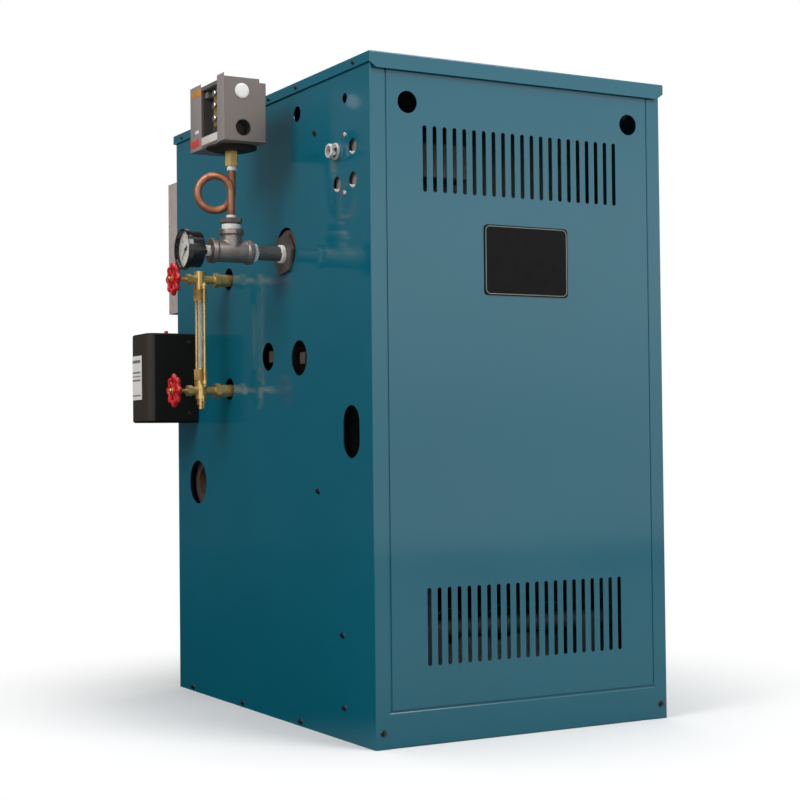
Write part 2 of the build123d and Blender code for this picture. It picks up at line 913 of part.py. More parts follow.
def control_works():
    """Insulating plate with a row of terminal posts in the control's window."""
    back = left_face - control_outs[1] + control_window_depth
    window_y, window_z = control_window_limits()
    inset_y = (window_y[0] + fit, window_y[1] - fit)
    inset_z = (window_z[0] + fit, window_z[1] - fit)
    works = block((back - works_thickness, back), inset_y, inset_z)
    step = (inset_z[1] - inset_z[0]) / (works_post_count + 1)
    post = Rot(Y=-90) * rod_up(works_post_radius, 0, works_thickness + works_post_length, 0, 0)
    for index in range(works_post_count):
        works += Pos(back, sum(inset_y) / 2, inset_z[0] + step * (index + 1)) * post
    return works


def steam_gauge_case():
    """Turned case of the steam gauge, with its threaded stem and rim."""
    floor = gauge_face_out - gauge_recess
    inner = gauge_radius - gauge_rim
    return turned_out(
        [
            (tee_end_out - gauge_stem_socket, 0),
            (tee_end_out - gauge_stem_socket, gauge_stem_radius),
            (gauge_back_out, gauge_stem_radius),
            (gauge_back_out, gauge_back_radius),
            (gauge_face_out - gauge_rim_length, gauge_back_radius + gauge_rim / 2),
            (gauge_face_out - gauge_rim_length, gauge_radius),
            (gauge_face_out, gauge_radius),
            (gauge_face_out, inner),
            (floor, inner),
            (floor, 0),
        ],
        bush_at,
    )


def steam_gauge_dial():
    """Dial plate on the floor of the gauge's recess."""
    floor = gauge_face_out - gauge_recess
    return rod_out(gauge_radius - gauge_rim - fit, floor, floor + gauge_dial_thickness, bush_at)


def steam_gauge_lens():
    """Clear lens inside the gauge's rim."""
    face = gauge_face_out - gauge_lens_inset
    return rod_out(gauge_radius - gauge_rim - fit, face - gauge_lens_thickness, face, bush_at)


def gauge_valve(place, towards):
    """Brass gauge valve: towards is -1 if its glass is below it and 1 if above."""
    y, axis = front_face + place[0], place[1]
    body = rod_out(shank_radius, -valve_boss_inset, shank_end_out, place)
    body += hex_out(shank_flats, shank_end_out, shank_end_out + shank_hex, place)
    body += rod_out(neck_radius, shank_end_out, glass_out, place)
    body += rod_out(bonnet_radius, glass_out, bonnet_out, place)
    body += hex_out(packing_flats, bonnet_out, packing_out, place)
    end = axis + towards * gland_end
    gland = sorted((end - towards * gland_height, end))
    barrel = sorted((axis - towards * valve_cap, end - towards * gland_height))
    body += rod_up(valve_barrel_radius, *barrel, glass_x, y)
    body += Pos(glass_x, y, gland[0]) * hexagon(gland_flats, gland_height)
    ear = SlotOverall(2 * (rod_spread + ear_margin), 2 * ear_margin, rotation=90)
    ear_bottom = axis + towards * ear_from_axis - ear_thickness / 2
    body += Pos(glass_x, y, ear_bottom) * extrude(ear, ear_thickness)
    glass_hole = sorted((end - towards * glass_insert, end + towards * overrun))
    body -= rod_up(glass_radius + fit, *glass_hole, glass_x, y)
    ear_hole = (ear_bottom - overrun, ear_bottom + ear_thickness + overrun)
    for side in (-1, 1):
        body -= rod_up(rod_radius + fit, *ear_hole, glass_x, y + side * rod_spread)
    stem_hole = (packing_out - stem_insert, packing_out + overrun)
    return body - rod_out(stem_radius + running_fit, *stem_hole, place)


def gauge_glass():
    """Glass tube between the two glands."""
    y = front_face + upper_valve_at[0]
    low = lower_valve_at[1] + gland_end - glass_insert
    high = upper_valve_at[1] - gland_end + glass_insert
    tube = rod_up(glass_radius, low, high, glass_x, y)
    return tube - rod_up(glass_radius - glass_wall, low - overrun, high + overrun, glass_x, y)


def guard_rods():
    """Two brass rods beside the glass, through the valves' ears."""
    low = lower_valve_at[1] + ear_from_axis - ear_thickness / 2 - rod_overhang
    high = upper_valve_at[1] - ear_from_axis + ear_thickness / 2 + rod_overhang
    y = front_face + upper_valve_at[0]
    rods = [rod_up(rod_radius, low, high, glass_x, y + side * rod_spread) for side in (-1, 1)]
    return Compound(children=rods)


def valve_stem(place):
    """Turning stem from the packing nut through the handwheel."""
    return rod_out(stem_radius, packing_out - stem_insert + stem_end_play, stem_end_out, place)


def handwheel(place):
    """Cast handwheel with a lobed rim, a pierced web and a hub on the stem."""
    lobes = PolarLocations(wheel_radius - wheel_lobe_radius, wheel_lobes)
    holes = PolarLocations(wheel_hole_from_middle, wheel_holes, 180 / wheel_holes)
    outline = Circle(wheel_web_radius) + lobes * Circle(wheel_lobe_radius)
    rim = extrude(outline, wheel_out[1] - wheel_out[0])
    rim = chamfer(rim.faces().filter_by(Axis.Z).edges(), wheel_bevel)
    rim -= extrude(Sketch() + holes * Circle(wheel_hole_radius), wheel_out[1] - wheel_out[0])
    spot = Pos(left_face - wheel_out[0], front_face + place[0], place[1]) * Rot(Y=-90)
    wheel = spot * rim + rod_out(wheel_hub_radius, *wheel_hub_out, place)
    hub_hole = (wheel_hub_out[0] - overrun, wheel_hub_out[1] + overrun)
    return wheel - rod_out(stem_radius + fit, *hub_hole, place)


def gauge_drain_cock():
    """Drain cock under the lower gauge valve."""
    top = lower_valve_at[1] - valve_cap
    low = top - drain_height
    points = [
        (drain_bore, top),
        (drain_radius, top),
        (drain_radius, low),
        (drain_tip_radius, low),
        (drain_tip_radius, low - drain_tip),
        (drain_bore, low - drain_tip),
    ]
    return turned_up(points, glass_x, front_face + lower_valve_at[0])


def lwco_case():
    """Low water cut-off box with rounded upright corners."""
    x = (left_face - lwco_outs[1], left_face - lwco_outs[0])
    y, z = front_face + lwco_at[0], lwco_at[1]
    case = block(
        x,
        (y - lwco_width / 2, y + lwco_width / 2),
        (z - lwco_height / 2, z + lwco_height / 2),
    )
    outer = case.edges().filter_by(Axis.Z).group_by(Axis.X)[0]
    case = fillet(outer, lwco_corner)
    return fillet(case.faces().filter_by(Axis.Z).edges().group_by(Axis.X)[:-1], lwco_edge)


def lwco_nipple():
    """Brass nipple that carries the cut-off box on its tapping."""
    return rod_out(lwco_nipple_radius, -valve_boss_inset, lwco_outs[0], lwco_at)


def conduit_connector():
    """Zinc clamp connector in the upper rear knockout."""
    place = knockout_places()[-1]
    length, width, height = connector_saddle
    body = turned_out(
        [
            (-connector_inside, 0),
            (connector_flange, 0),
            (connector_flange, connector_flange_radius),
            (0, connector_flange_radius),
            (0, knockout_radius),
            (-connector_inside, knockout_radius),
        ],
        place,
    )
    x = left_face - connector_flange
    y, z = front_face + place[0], place[1]
    body += block((x - length, x), (y - width / 2, y + width / 2), (z - height / 2, z + height / 2))
    bore = (-connector_inside - overrun, connector_flange + length + overrun)
    return body - rod_out(connector_bore, *bore, place)


nodes = {
    "base_box": base_box(),
    "burner_tubes": burner_tubes(),
    "gas_manifold": gas_manifold(),
    "gas_valve": gas_valve(),
    "flue_canopy": flue_canopy(),
    "inner_front_panel": inner_front_panel(),
    "wiring_box": wiring_box(),
    "transformer": transformer(),
    "left_side_panel": left_side_panel(),
    "right_side_panel": right_side_panel(),
    "rear_panel": rear_panel(),
    "lid": lid(),
    "front_strip": front_strip(),
    "front_door": front_door(),
    "name_plate": name_plate(),
    "draft_hood": draft_hood(),
    "flue_collar": flue_collar(),
    "left_supply_boss": supply_boss(-1),
    "right_supply_boss": supply_boss(1),
    "tapping_plugs": tapping_plugs(),
    "tapping_bushing": tapping_bushing(),
    "trim_nipple": trim_nipple(),
    "trim_tee": trim_tee(),
    "tee_bushing": tee_bushing(),
    "siphon_loop": siphon_loop(),
    "siphon_adapter": siphon_adapter(),
    "control_diaphragm": control_diaphragm(),
    "control_case": control_case(),
    "control_works": control_works(),
    "steam_gauge_case": steam_gauge_case(),
    "steam_gauge_dial": steam_gauge_dial(),
    "steam_gauge_lens": steam_gauge_lens(),
    "upper_gauge_valve": gauge_valve(upper_valve_at, -1),
    "lower_gauge_valve": gauge_valve(lower_valve_at, 1),
    "gauge_glass": gauge_glass(),
    "guard_rods": guard_rods(),
    "gauge_drain_cock": gauge_drain_cock(),
    "upper_valve_stem": valve_stem(upper_valve_at),
    "lower_valve_stem": valve_stem(lower_valve_at),
    "upper_handwheel": handwheel(upper_valve_at),
    "lower_handwheel": handwheel(lower_valve_at),
    "lwco_case": lwco_case(),
    "lwco_nipple": lwco_nipple(),
    "conduit_connector": conduit_connector(),
}
for index in range(section_count):
    nodes[f"section_{index + 1}"] = section(index)

os.makedirs("parts", exist_ok=True)
for name, shape in nodes.items():
    export_step(shape, f"parts/{name}.step")
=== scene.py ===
import json
from math import cos, pi, radians, sin

import bmesh
import bpy
from mathutils import Matrix, Vector


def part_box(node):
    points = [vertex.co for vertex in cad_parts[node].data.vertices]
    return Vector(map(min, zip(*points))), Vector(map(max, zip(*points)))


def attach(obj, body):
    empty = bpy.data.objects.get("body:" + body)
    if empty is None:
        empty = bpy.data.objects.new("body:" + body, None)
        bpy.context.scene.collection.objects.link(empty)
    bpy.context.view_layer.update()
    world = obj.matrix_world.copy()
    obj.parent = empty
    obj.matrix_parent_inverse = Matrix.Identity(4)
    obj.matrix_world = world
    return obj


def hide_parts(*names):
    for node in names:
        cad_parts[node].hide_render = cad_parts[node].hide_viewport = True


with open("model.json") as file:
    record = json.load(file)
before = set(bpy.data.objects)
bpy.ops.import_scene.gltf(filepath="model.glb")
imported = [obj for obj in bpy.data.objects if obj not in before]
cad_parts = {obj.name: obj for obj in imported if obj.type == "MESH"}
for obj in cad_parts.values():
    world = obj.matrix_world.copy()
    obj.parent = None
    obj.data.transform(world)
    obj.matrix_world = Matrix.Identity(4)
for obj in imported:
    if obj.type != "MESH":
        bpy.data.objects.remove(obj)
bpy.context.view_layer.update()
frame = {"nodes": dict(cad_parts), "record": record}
nodes = frame["nodes"]
scene = bpy.context.scene

# Places on the boiler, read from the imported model, in metres
MM = 0.001
jacket_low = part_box("left_side_panel")[0]
LEFT = jacket_low.x
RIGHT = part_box("right_side_panel")[1].x
FRONT = jacket_low.y
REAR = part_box("rear_panel")[1].y
LID_LOW, LID_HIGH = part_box("lid")
STRIP_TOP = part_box("front_strip")[1].z
CONTROL_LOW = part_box("control_case")[0]
CUTOFF_LOW, CUTOFF_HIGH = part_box("lwco_case")
WHEEL_BODIES = {"upper": "upper_wheel", "lower": "lower_wheel"}

# Turns that lay a piece on one face: local X to the viewer's right, local Y up, local Z out of the face
FACE_AXES = {
    "left": ((0, -1, 0), (0, 0, 1), (-1, 0, 0)),
    "right": ((0, 1, 0), (0, 0, 1), (1, 0, 0)),
    "front": ((1, 0, 0), (0, 0, 1), (0, -1, 0)),
    "rear": ((-1, 0, 0), (0, 0, 1), (0, 1, 0)),
    "top": ((1, 0, 0), (0, 1, 0), (0, 0, 1)),
    "under": ((1, 0, 0), (0, -1, 0), (0, 0, -1)),
}


def beside(y, out, height):
    """Point by the left side: its Y in metres, then distance out of the sheet and height, in mm."""
    return Vector((LEFT - out * MM, y, height * MM))


def side(out, from_front, height):
    """Point by the left side: distance out of the sheet, from the front and above the floor, in mm."""
    return beside(FRONT + from_front * MM, out, height)


def facing(face, place):
    """Matrix that lays a piece on a face at a place."""
    turn = Matrix([Vector(axis) for axis in FACE_AXES[face]]).transposed()
    return Matrix.Translation(place) @ turn.to_4x4()


def middle_of(node):
    """Middle of a node's box."""
    low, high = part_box(node)
    return (low + high) / 2


def put_in_scene(name, data):
    """New object in the scene."""
    thing = bpy.data.objects.new(name, data)
    scene.collection.objects.link(thing)
    return thing


# Camera, solved from the photograph's edges of the jacket
CAMERA_PLACE = Vector((-1.4084, -2.4929, 0.4472))
CAMERA_AZIMUTH = radians(-29.3446)
CAMERA_ELEVATION = radians(-1.4065)
CAMERA_ROLL = radians(-0.5969)
CAMERA_FOCAL_PIXELS = 1658.911
IMAGE_PIXELS = 800.0
SENSOR_MM = 36.0


def add_camera():
    """Camera at the photograph's angle, with the photograph's perspective."""
    data = bpy.data.cameras.new("photo_camera")
    data.sensor_width = SENSOR_MM
    data.lens = CAMERA_FOCAL_PIXELS / IMAGE_PIXELS * SENSOR_MM
    back = Vector((
        sin(CAMERA_AZIMUTH) * cos(CAMERA_ELEVATION),
        -cos(CAMERA_AZIMUTH) * cos(CAMERA_ELEVATION),
        sin(CAMERA_ELEVATION),
    ))
    right = (-back).cross(Vector((0, 0, 1))).normalized()
    up = right.cross(-back)
    tilted_right = cos(CAMERA_ROLL) * right + sin(CAMERA_ROLL) * up
    tilted_up = -sin(CAMERA_ROLL) * right + cos(CAMERA_ROLL) * up
    turn = Matrix((tilted_right, tilted_up, back)).transposed().to_4x4()
    camera = put_in_scene("photo_camera", data)
    camera.matrix_world = Matrix.Translation(CAMERA_PLACE) @ turn
    scene.camera = camera


# Node trees
NUMBER = "NodeSocketFloat"
COUNT = "NodeSocketInt"
COLOUR = "NodeSocketColor"
GEOMETRY = "NodeSocketGeometry"
FINISH = "NodeSocketMaterial"


def put(tree, socket, value):
    """Links an output to a socket, or sets the socket's value."""
    if isinstance(value, bpy.types.NodeSocket):
        tree.links.new(value, socket)
    else:
        socket.default_value = value


def fill(tree, node, sockets):
    """Sets or links the inputs of a node by name."""
    for name, value in sockets.items():
        put(tree, node.inputs[name.replace("_", " ")], value)


def new_node(tree, kind, **sockets):
    """Adds a node and sets or links its inputs."""
    node = tree.nodes.new(kind)
    fill(tree, node, sockets)
    return node


def calculate(tree, operation, *values):
    """Math node; gives its output."""
    node = tree.nodes.new("ShaderNodeMath")
    node.operation = operation
    for socket, value in zip(node.inputs, values):
        put(tree, socket, value)
    return node.outputs[0]


def on_vectors(tree, operation, first, **more):
    """Vector Math node on one vector and what else it needs; gives its outputs."""
    node = tree.nodes.new("ShaderNodeVectorMath")
    node.operation = operation
    put(tree, node.inputs[0], first)
    if "second" in more:
        put(tree, node.inputs[1], more["second"])
    if "scale" in more:
        put(tree, node.inputs["Scale"], more["scale"])
    return node.outputs


def reach_along(tree, vector, direction):
    """How far a vector reaches along a direction; gives the output."""
    return on_vectors(tree, "DOT_PRODUCT", vector, second=direction)["Value"]


def blend_colours(tree, share, first, second):
    """Mix node for colours; gives its output."""
    node = tree.nodes.new("ShaderNodeMix")
    node.data_type = "RGBA"
    put(tree, node.inputs["Factor"], share)
    put(tree, node.inputs[6], first)
    put(tree, node.inputs[7], second)
    return node.outputs[2]


def rescale(tree, value, low, high, new_low=0.0, new_high=1.0):
    """Smooth map of a value from one range to another; gives its output."""
    node = tree.nodes.new("ShaderNodeMapRange")
    node.interpolation_type = "SMOOTHSTEP"
    for socket, number in zip(node.inputs, (value, low, high, new_low, new_high)):
        put(tree, socket, number)
    return node.outputs["Result"]


def mix_shaders(tree, share, first, second):
    """Mix Shader node; gives its output."""
    node = tree.nodes.new("ShaderNodeMixShader")
    for socket, value in zip(node.inputs, (share, first, second)):
        put(tree, socket, value)
    return node.outputs[0]


def noise(tree, scale, detail=3.0, roughness=0.5):
    """Noise over the surface; gives its value."""
    node = new_node(
        tree, "ShaderNodeTexNoise", Vector=object_place(tree), Scale=scale, Detail=detail,
        Roughness=roughness,
    )
    return node.outputs["Fac"]


def object_place(tree):
    """Object coordinates, in metres."""
    return tree.nodes.new("ShaderNodeTexCoord").outputs["Object"]


def new_group(name, inputs, outputs, tree_kind="ShaderNodeTree"):
    """Empty node group with named sockets, and its two end nodes."""
    tree = bpy.data.node_groups.new(name, tree_kind)
    for label, kind, value in inputs:
        socket = tree.interface.new_socket(label, in_out="INPUT", socket_type=kind)
        if value is not None:
            socket.default_value = value
    for label, kind in outputs:
        tree.interface.new_socket(label, in_out="OUTPUT", socket_type=kind)
    given = tree.nodes.new("NodeGroupInput").outputs
    result = tree.nodes.new("NodeGroupOutput").inputs
    return tree, given, result


# Surface effects that several finishes share
WHITE = (1.0, 1.0, 1.0, 1.0)
MOTTLE_EDGE = 0.85
MOTTLE_SPREAD = 0.7
MOTTLE_SOFT_BELOW = 0.18
MOTTLE_SOFT_ABOVE = 0.12
GRAIN_SHARE = 0.5
PIT_RANGE = (0.62, 0.38)
DUST_SLOPE = (0.5, 0.95)
DUST_BREAKS = (0.3, 0.75)


def make_mottle_group():
    """Two tones that drift into each other over the surface."""
    tree, given, result = new_group(
        "mottle",
        [("Tone", COLOUR, WHITE), ("Second Tone", COLOUR, WHITE), ("Scale", NUMBER, 20.0),
         ("Cover", NUMBER, 0.5)],
        [("Colour", COLOUR), ("Mask", NUMBER)],
    )
    value = noise(tree, given["Scale"], detail=5.0, roughness=0.6)
    spread = calculate(tree, "MULTIPLY", given["Cover"], MOTTLE_SPREAD)
    edge = calculate(tree, "SUBTRACT", MOTTLE_EDGE, spread)
    low = calculate(tree, "SUBTRACT", edge, MOTTLE_SOFT_BELOW)
    high = calculate(tree, "ADD", edge, MOTTLE_SOFT_ABOVE)
    mask = rescale(tree, value, low, high)
    put(tree, result["Colour"], blend_colours(tree, mask, given["Tone"], given["Second Tone"]))
    put(tree, result["Mask"], mask)
    return tree


def make_sheet_group():
    """Height of rolled and painted sheet: fine orange peel over slow waves."""
    tree, given, result = new_group(
        "sheet_surface",
        [("Peel Scale", NUMBER, 320.0), ("Peel Depth", NUMBER, 0.05), ("Wave Scale", NUMBER, 3.0),
         ("Wave Depth", NUMBER, 1.0)],
        [("Height", NUMBER)],
    )
    heights = []
    for effect in ("Peel", "Wave"):
        value = noise(tree, given[f"{effect} Scale"], detail=1.0)
        heights.append(calculate(tree, "MULTIPLY", value, given[f"{effect} Depth"]))
    put(tree, result["Height"], calculate(tree, "ADD", *heights))
    return tree


def make_casting_group():
    """Sand-cast skin: the height of its grain and lumps, and a mask of its pits."""
    tree, given, result = new_group(
        "cast_skin",
        [("Grain Scale", NUMBER, 700.0), ("Lump Scale", NUMBER, 90.0)],
        [("Height", NUMBER), ("Pits", NUMBER)],
    )
    grain = noise(tree, given["Grain Scale"], detail=2.0)
    lumps = noise(tree, given["Lump Scale"], detail=2.0)
    fine = calculate(tree, "MULTIPLY", grain, GRAIN_SHARE)
    put(tree, result["Height"], calculate(tree, "ADD", fine, lumps))
    put(tree, result["Pits"], rescale(tree, grain, *PIT_RANGE))
    return tree


def make_dust_group():
    """Settled dust: only where the surface looks up, broken by noise."""
    tree, given, result = new_group(
        "settled_dust", [("Amount", NUMBER, 0.3), ("Scale", NUMBER, 30.0)], [("Mask", NUMBER)]
    )
    normal = tree.nodes.new("ShaderNodeNewGeometry").outputs["Normal"]
    up = new_node(tree, "ShaderNodeSeparateXYZ", Vector=normal).outputs["Z"]
    broken = rescale(tree, noise(tree, given["Scale"], detail=4.0), *DUST_BREAKS)
    mask = calculate(tree, "MULTIPLY", rescale(tree, up, *DUST_SLOPE), broken)
    put(tree, result["Mask"], calculate(tree, "MULTIPLY", mask, given["Amount"]))
    return tree


def make_spangle_group():
    """Zinc crystals on galvanised sheet: a tone for each crystal."""
    tree, given, result = new_group("zinc_spangle", [("Scale", NUMBER, 70.0)], [("Tone", NUMBER)])
    crystals = new_node(tree, "ShaderNodeTexVoronoi", Vector=object_place(tree), Scale=given["Scale"])
    parts = new_node(tree, "ShaderNodeSeparateColor", Color=crystals.outputs["Color"])
    put(tree, result["Tone"], parts.outputs["Red"])
    return tree


MOTTLE = make_mottle_group()
SHEET = make_sheet_group()
CASTING = make_casting_group()
DUST = make_dust_group()
SPANGLE = make_spangle_group()


def use_group(tree, group, **sockets):
    """Places a node group in a material; gives its outputs."""
    node = tree.nodes.new("ShaderNodeGroup")
    node.node_tree = group
    fill(tree, node, sockets)
    return node.outputs


# Kinds of finish; depths of bumps are in metres
FINISHES = {}
DUST_TONE = (0.30, 0.28, 0.25)
PIT_TONE = (0.02, 0.018, 0.016)
PIT_SHARE = 0.35
SHEET_BUMP = 0.0006
ROUGHNESS_NOISE = (0.3, 0.7)
SMOOTHER = 0.85
ROUGHER = 1.2
ROUGHER_PAINT = 1.25
ROUGHER_TARNISH = 1.7
ZINC_ROUGHNESS = (0.34, 0.50)
GLASS_IOR = 1.2


def rgb(red, green, blue):
    """Linear colour with full cover."""
    return (red, green, blue, 1.0)


def new_finish(name, **constants):
    """Material with a Principled shader, kept in FINISHES; gives its tree and the shader."""
    material = bpy.data.materials.new(name)
    material.use_nodes = True
    FINISHES[name] = material
    tree = material.node_tree
    shader = tree.nodes["Principled BSDF"]
    fill(tree, shader, constants)
    return tree, shader


def mottled(tree, tone, second, scale, cover=0.5):
    """Two tones of a finish; gives their blend and its mask."""
    return use_group(
        tree, MOTTLE, Tone=rgb(*tone), Second_Tone=rgb(*second), Scale=scale, Cover=cover
    )


def dusted(tree, colour, amount, scale):
    """Colour under a little settled dust; gives the output."""
    settled = use_group(tree, DUST, Amount=amount, Scale=scale)["Mask"]
    return blend_colours(tree, settled, colour, rgb(*DUST_TONE))


def roughen(tree, shader, height, depth):
    """Bump from a height, with its depth in metres."""
    bump = new_node(tree, "ShaderNodeBump", Strength=1.0, Distance=depth, Height=height)
    put(tree, shader.inputs["Normal"], bump.outputs["Normal"])


def vary_roughness(tree, shader, low, high, scale):
    """Roughness that drifts between two values."""
    value = noise(tree, scale, detail=4.0)
    put(tree, shader.inputs["Roughness"], rescale(tree, value, *ROUGHNESS_NOISE, low, high))


def paint_finish(name, tone, second, roughness, peel=0.05, waves=1.0, dust=0.12, **constants):
    """Enamel on sheet: two close tones, orange peel, slow waves and a little dust."""
    tree, shader = new_finish(name, **constants)
    colour = mottled(tree, tone, second, scale=2.2)["Colour"]
    put(tree, shader.inputs["Base Color"], dusted(tree, colour, dust, scale=14.0))
    vary_roughness(tree, shader, roughness * SMOOTHER, roughness * ROUGHER_PAINT, scale=6.0)
    height = use_group(tree, SHEET, Peel_Depth=peel, Wave_Depth=waves)["Height"]
    roughen(tree, shader, height, SHEET_BUMP)


def casting_finish(name, tone, second, roughness, grain, scale=40.0, dust=0.1, **constants):
    """Bare or painted casting: mottled tone, darker pits and grain."""
    tree, shader = new_finish(name, **constants)
    skin = use_group(tree, CASTING)
    colour = mottled(tree, tone, second, scale, cover=0.45)["Colour"]
    pits = calculate(tree, "MULTIPLY", skin["Pits"], PIT_SHARE)
    darker = blend_colours(tree, pits, colour, rgb(*PIT_TONE))
    put(tree, shader.inputs["Base Color"], dusted(tree, darker, dust, scale=60.0))
    vary_roughness(tree, shader, roughness * SMOOTHER, roughness * ROUGHER, scale=60.0)
    roughen(tree, shader, skin["Height"], grain)


def metal_finish(name, tone, tarnish, roughness, cover, scale=60.0, metallic=1.0):
    """Bare bright metal with drifting tarnish and a fine surface."""
    tree, shader = new_finish(name, Metallic=metallic)
    stain = mottled(tree, tone, tarnish, scale, cover)
    put(tree, shader.inputs["Base Color"], stain["Colour"])
    rough = rescale(tree, stain["Mask"], 0.0, 1.0, roughness, roughness * ROUGHER_TARNISH)
    put(tree, shader.inputs["Roughness"], rough)
    roughen(tree, shader, noise(tree, scale=500.0, detail=2.0), depth=0.00004)


def plastic_finish(name, tone, second, roughness, scale=50.0, **constants):
    """Moulded or printed surface with close tones."""
    tree, shader = new_finish(name, **constants)
    put(tree, shader.inputs["Base Color"], mottled(tree, tone, second, scale)["Colour"])
    vary_roughness(tree, shader, roughness * SMOOTHER, roughness * ROUGHER, scale=30.0)
    roughen(tree, shader, noise(tree, scale=900.0, detail=2.0), depth=0.00003)


def galvanised_finish(name, tone, second, metallic):
    """Dull galvanised sheet with crystals of slightly different tone."""
    tree, shader = new_finish(name, Metallic=metallic)
    share = use_group(tree, SPANGLE, Scale=150.0)["Tone"]
    crystals = blend_colours(tree, share, rgb(*tone), rgb(*second))
    put(tree, shader.inputs["Base Color"], dusted(tree, crystals, 0.35, scale=25.0))
    put(tree, shader.inputs["Roughness"], rescale(tree, share, 0.0, 1.0, *ZINC_ROUGHNESS))
    height = use_group(tree, SHEET, Peel_Depth=0.02, Wave_Depth=1.2)["Height"]
    roughen(tree, shader, height, SHEET_BUMP)


def glass_finish(name, tone, second, clear):
    """Glass with faint smears, clear or clouded by age."""
    tree, shader = new_finish(name, Transmission_Weight=clear, IOR=GLASS_IOR, Roughness=0.02)
    haze = noise(tree, scale=40.0)
    put(tree, shader.inputs["Base Color"], blend_colours(tree, haze, rgb(*tone), rgb(*second)))


# Finishes: two tones in linear red, green and blue, then the roughness
paint_finish("jacket_paint", (0.0028, 0.132, 0.195), (0.0034, 0.140, 0.205), 0.09,
             peel=0.012, Specular_IOR_Level=0.68)
galvanised_finish("galvanised_sheet", (0.53, 0.44, 0.415), (0.62, 0.52, 0.49), metallic=0.15)
galvanised_finish("box_taupe", (0.30, 0.245, 0.215), (0.36, 0.295, 0.26), metallic=0.1)
galvanised_finish("fitting_zinc", (0.80, 0.75, 0.72), (0.88, 0.83, 0.80), metallic=0.25)
# Near-black sheet for parts seen through the louvres: painted shade of the jacket's inside
galvanised_finish("painted_shade_sheet", (0.055, 0.050, 0.047), (0.075, 0.068, 0.063), metallic=0.3)
metal_finish("zinc", (0.78, 0.78, 0.77), (0.55, 0.54, 0.52), 0.24, cover=0.3)
casting_finish("cast_iron", (0.075, 0.066, 0.060), (0.13, 0.066, 0.038), 0.75, grain=0.0005)
casting_finish("black_iron_pipe", (0.195, 0.181, 0.170), (0.245, 0.219, 0.200), 0.32,
               grain=0.00008, scale=90.0, Metallic=0.6)
# Near-black iron for the gas manifold behind the louvres: painted shade
casting_finish("painted_shade_iron", (0.030, 0.026, 0.024), (0.045, 0.036, 0.031), 0.6, grain=0.0001)
casting_finish("malleable_iron", (0.19, 0.163, 0.147), (0.145, 0.118, 0.102), 0.42,
               grain=0.00022, Metallic=0.45)
casting_finish("tee_iron", (0.38, 0.33, 0.30), (0.31, 0.262, 0.232), 0.38, grain=0.00022, Metallic=0.75)
casting_finish("gas_valve_grey", (0.24, 0.235, 0.23), (0.19, 0.18, 0.17), 0.5, grain=0.0001)
plastic_finish("plate_black", (0.0045, 0.0040, 0.0041), (0.0062, 0.0056, 0.0057), 0.34,
               Specular_IOR_Level=0.10)
metal_finish("copper", (0.45, 0.195, 0.108), (0.27, 0.105, 0.056), 0.38,
             cover=0.42, scale=45.0, metallic=0.65)
metal_finish("brass", (0.76, 0.52, 0.19), (0.50, 0.32, 0.105), 0.25,
             cover=0.34, scale=45.0, metallic=0.7)
paint_finish("control_grey", (0.165, 0.134, 0.120), (0.173, 0.141, 0.127), 0.42,
             peel=0.03, waves=0.1, dust=0.05)
paint_finish("control_light", (0.335, 0.297, 0.29), (0.35, 0.312, 0.305), 0.40,
             peel=0.03, waves=0.1, dust=0.0)
plastic_finish("control_dark", (0.062, 0.056, 0.056), (0.075, 0.068, 0.067), 0.45)
plastic_finish("diaphragm_dark", (0.026, 0.020, 0.016), (0.034, 0.026, 0.021), 0.55,
               Specular_IOR_Level=0.12)
paint_finish("gauge_black", (0.009, 0.009, 0.009), (0.012, 0.0115, 0.011), 0.11,
             peel=0.01, waves=0.1, dust=0.04)
plastic_finish("dial_white", (0.78, 0.77, 0.76), (0.73, 0.72, 0.70), 0.5, scale=30.0)
glass_finish("clear_glass", (0.93, 0.92, 0.90), (0.87, 0.86, 0.84), clear=1.0)
glass_finish("aged_glass", (0.96, 0.89, 0.79), (0.88, 0.81, 0.71), clear=0.7)
casting_finish("wheel_red", (0.83, 0.015, 0.021), (0.73, 0.011, 0.017), 0.26, grain=0.00018, dust=0.0)
paint_finish("cutoff_black", (0.0055, 0.0050, 0.0043), (0.0078, 0.0070, 0.0060), 0.48,
             peel=0.12, waves=0.1, dust=0.05, Specular_IOR_Level=0.2)
# Lighter copy of the cut-off's dark paint, laid over its outer face: painted light
paint_finish("cutoff_painted_light_skin", (0.036, 0.029, 0.024), (0.042, 0.034, 0.028), 0.5,
             peel=0.12, waves=0.1, dust=0.0, Specular_IOR_Level=0.3)
metal_finish("screw_dark", (0.055, 0.048, 0.046), (0.075, 0.052, 0.042), 0.42, cover=0.35)
plastic_finish("thread_tape", (0.97, 0.95, 0.93), (0.93, 0.91, 0.885), 0.5, scale=160.0)
plastic_finish("label_paper", (0.93, 0.91, 0.89), (0.89, 0.87, 0.84), 0.5)
plastic_finish("label_cream", (0.86, 0.80, 0.74), (0.80, 0.74, 0.68), 0.5)
plastic_finish("label_orange", (0.78, 0.33, 0.05), (0.70, 0.28, 0.045), 0.45)
plastic_finish("label_red", (0.78, 0.085, 0.045), (0.71, 0.070, 0.040), 0.45)
plastic_finish("print_black", (0.015, 0.015, 0.015), (0.020, 0.020, 0.020), 0.5)
plastic_finish("print_grey", (0.20, 0.20, 0.20), (0.25, 0.25, 0.25), 0.5)
plastic_finish("plate_rim", (0.27, 0.31, 0.285), (0.22, 0.26, 0.235), 0.4)

# Nodes that look different from the rest of their slot
OWN_FINISHES = {
    "wiring_box": "box_taupe",
    "base_box": "box_taupe",
    # Parts seen through the louvres are darkened: painted shade
    "inner_front_panel": "painted_shade_sheet",
    "burner_tubes": "painted_shade_sheet",
    "tapping_plugs": "malleable_iron",
    # painted shade behind the louvres
    "gas_manifold": "painted_shade_iron",
    "control_diaphragm": "diaphragm_dark",
}


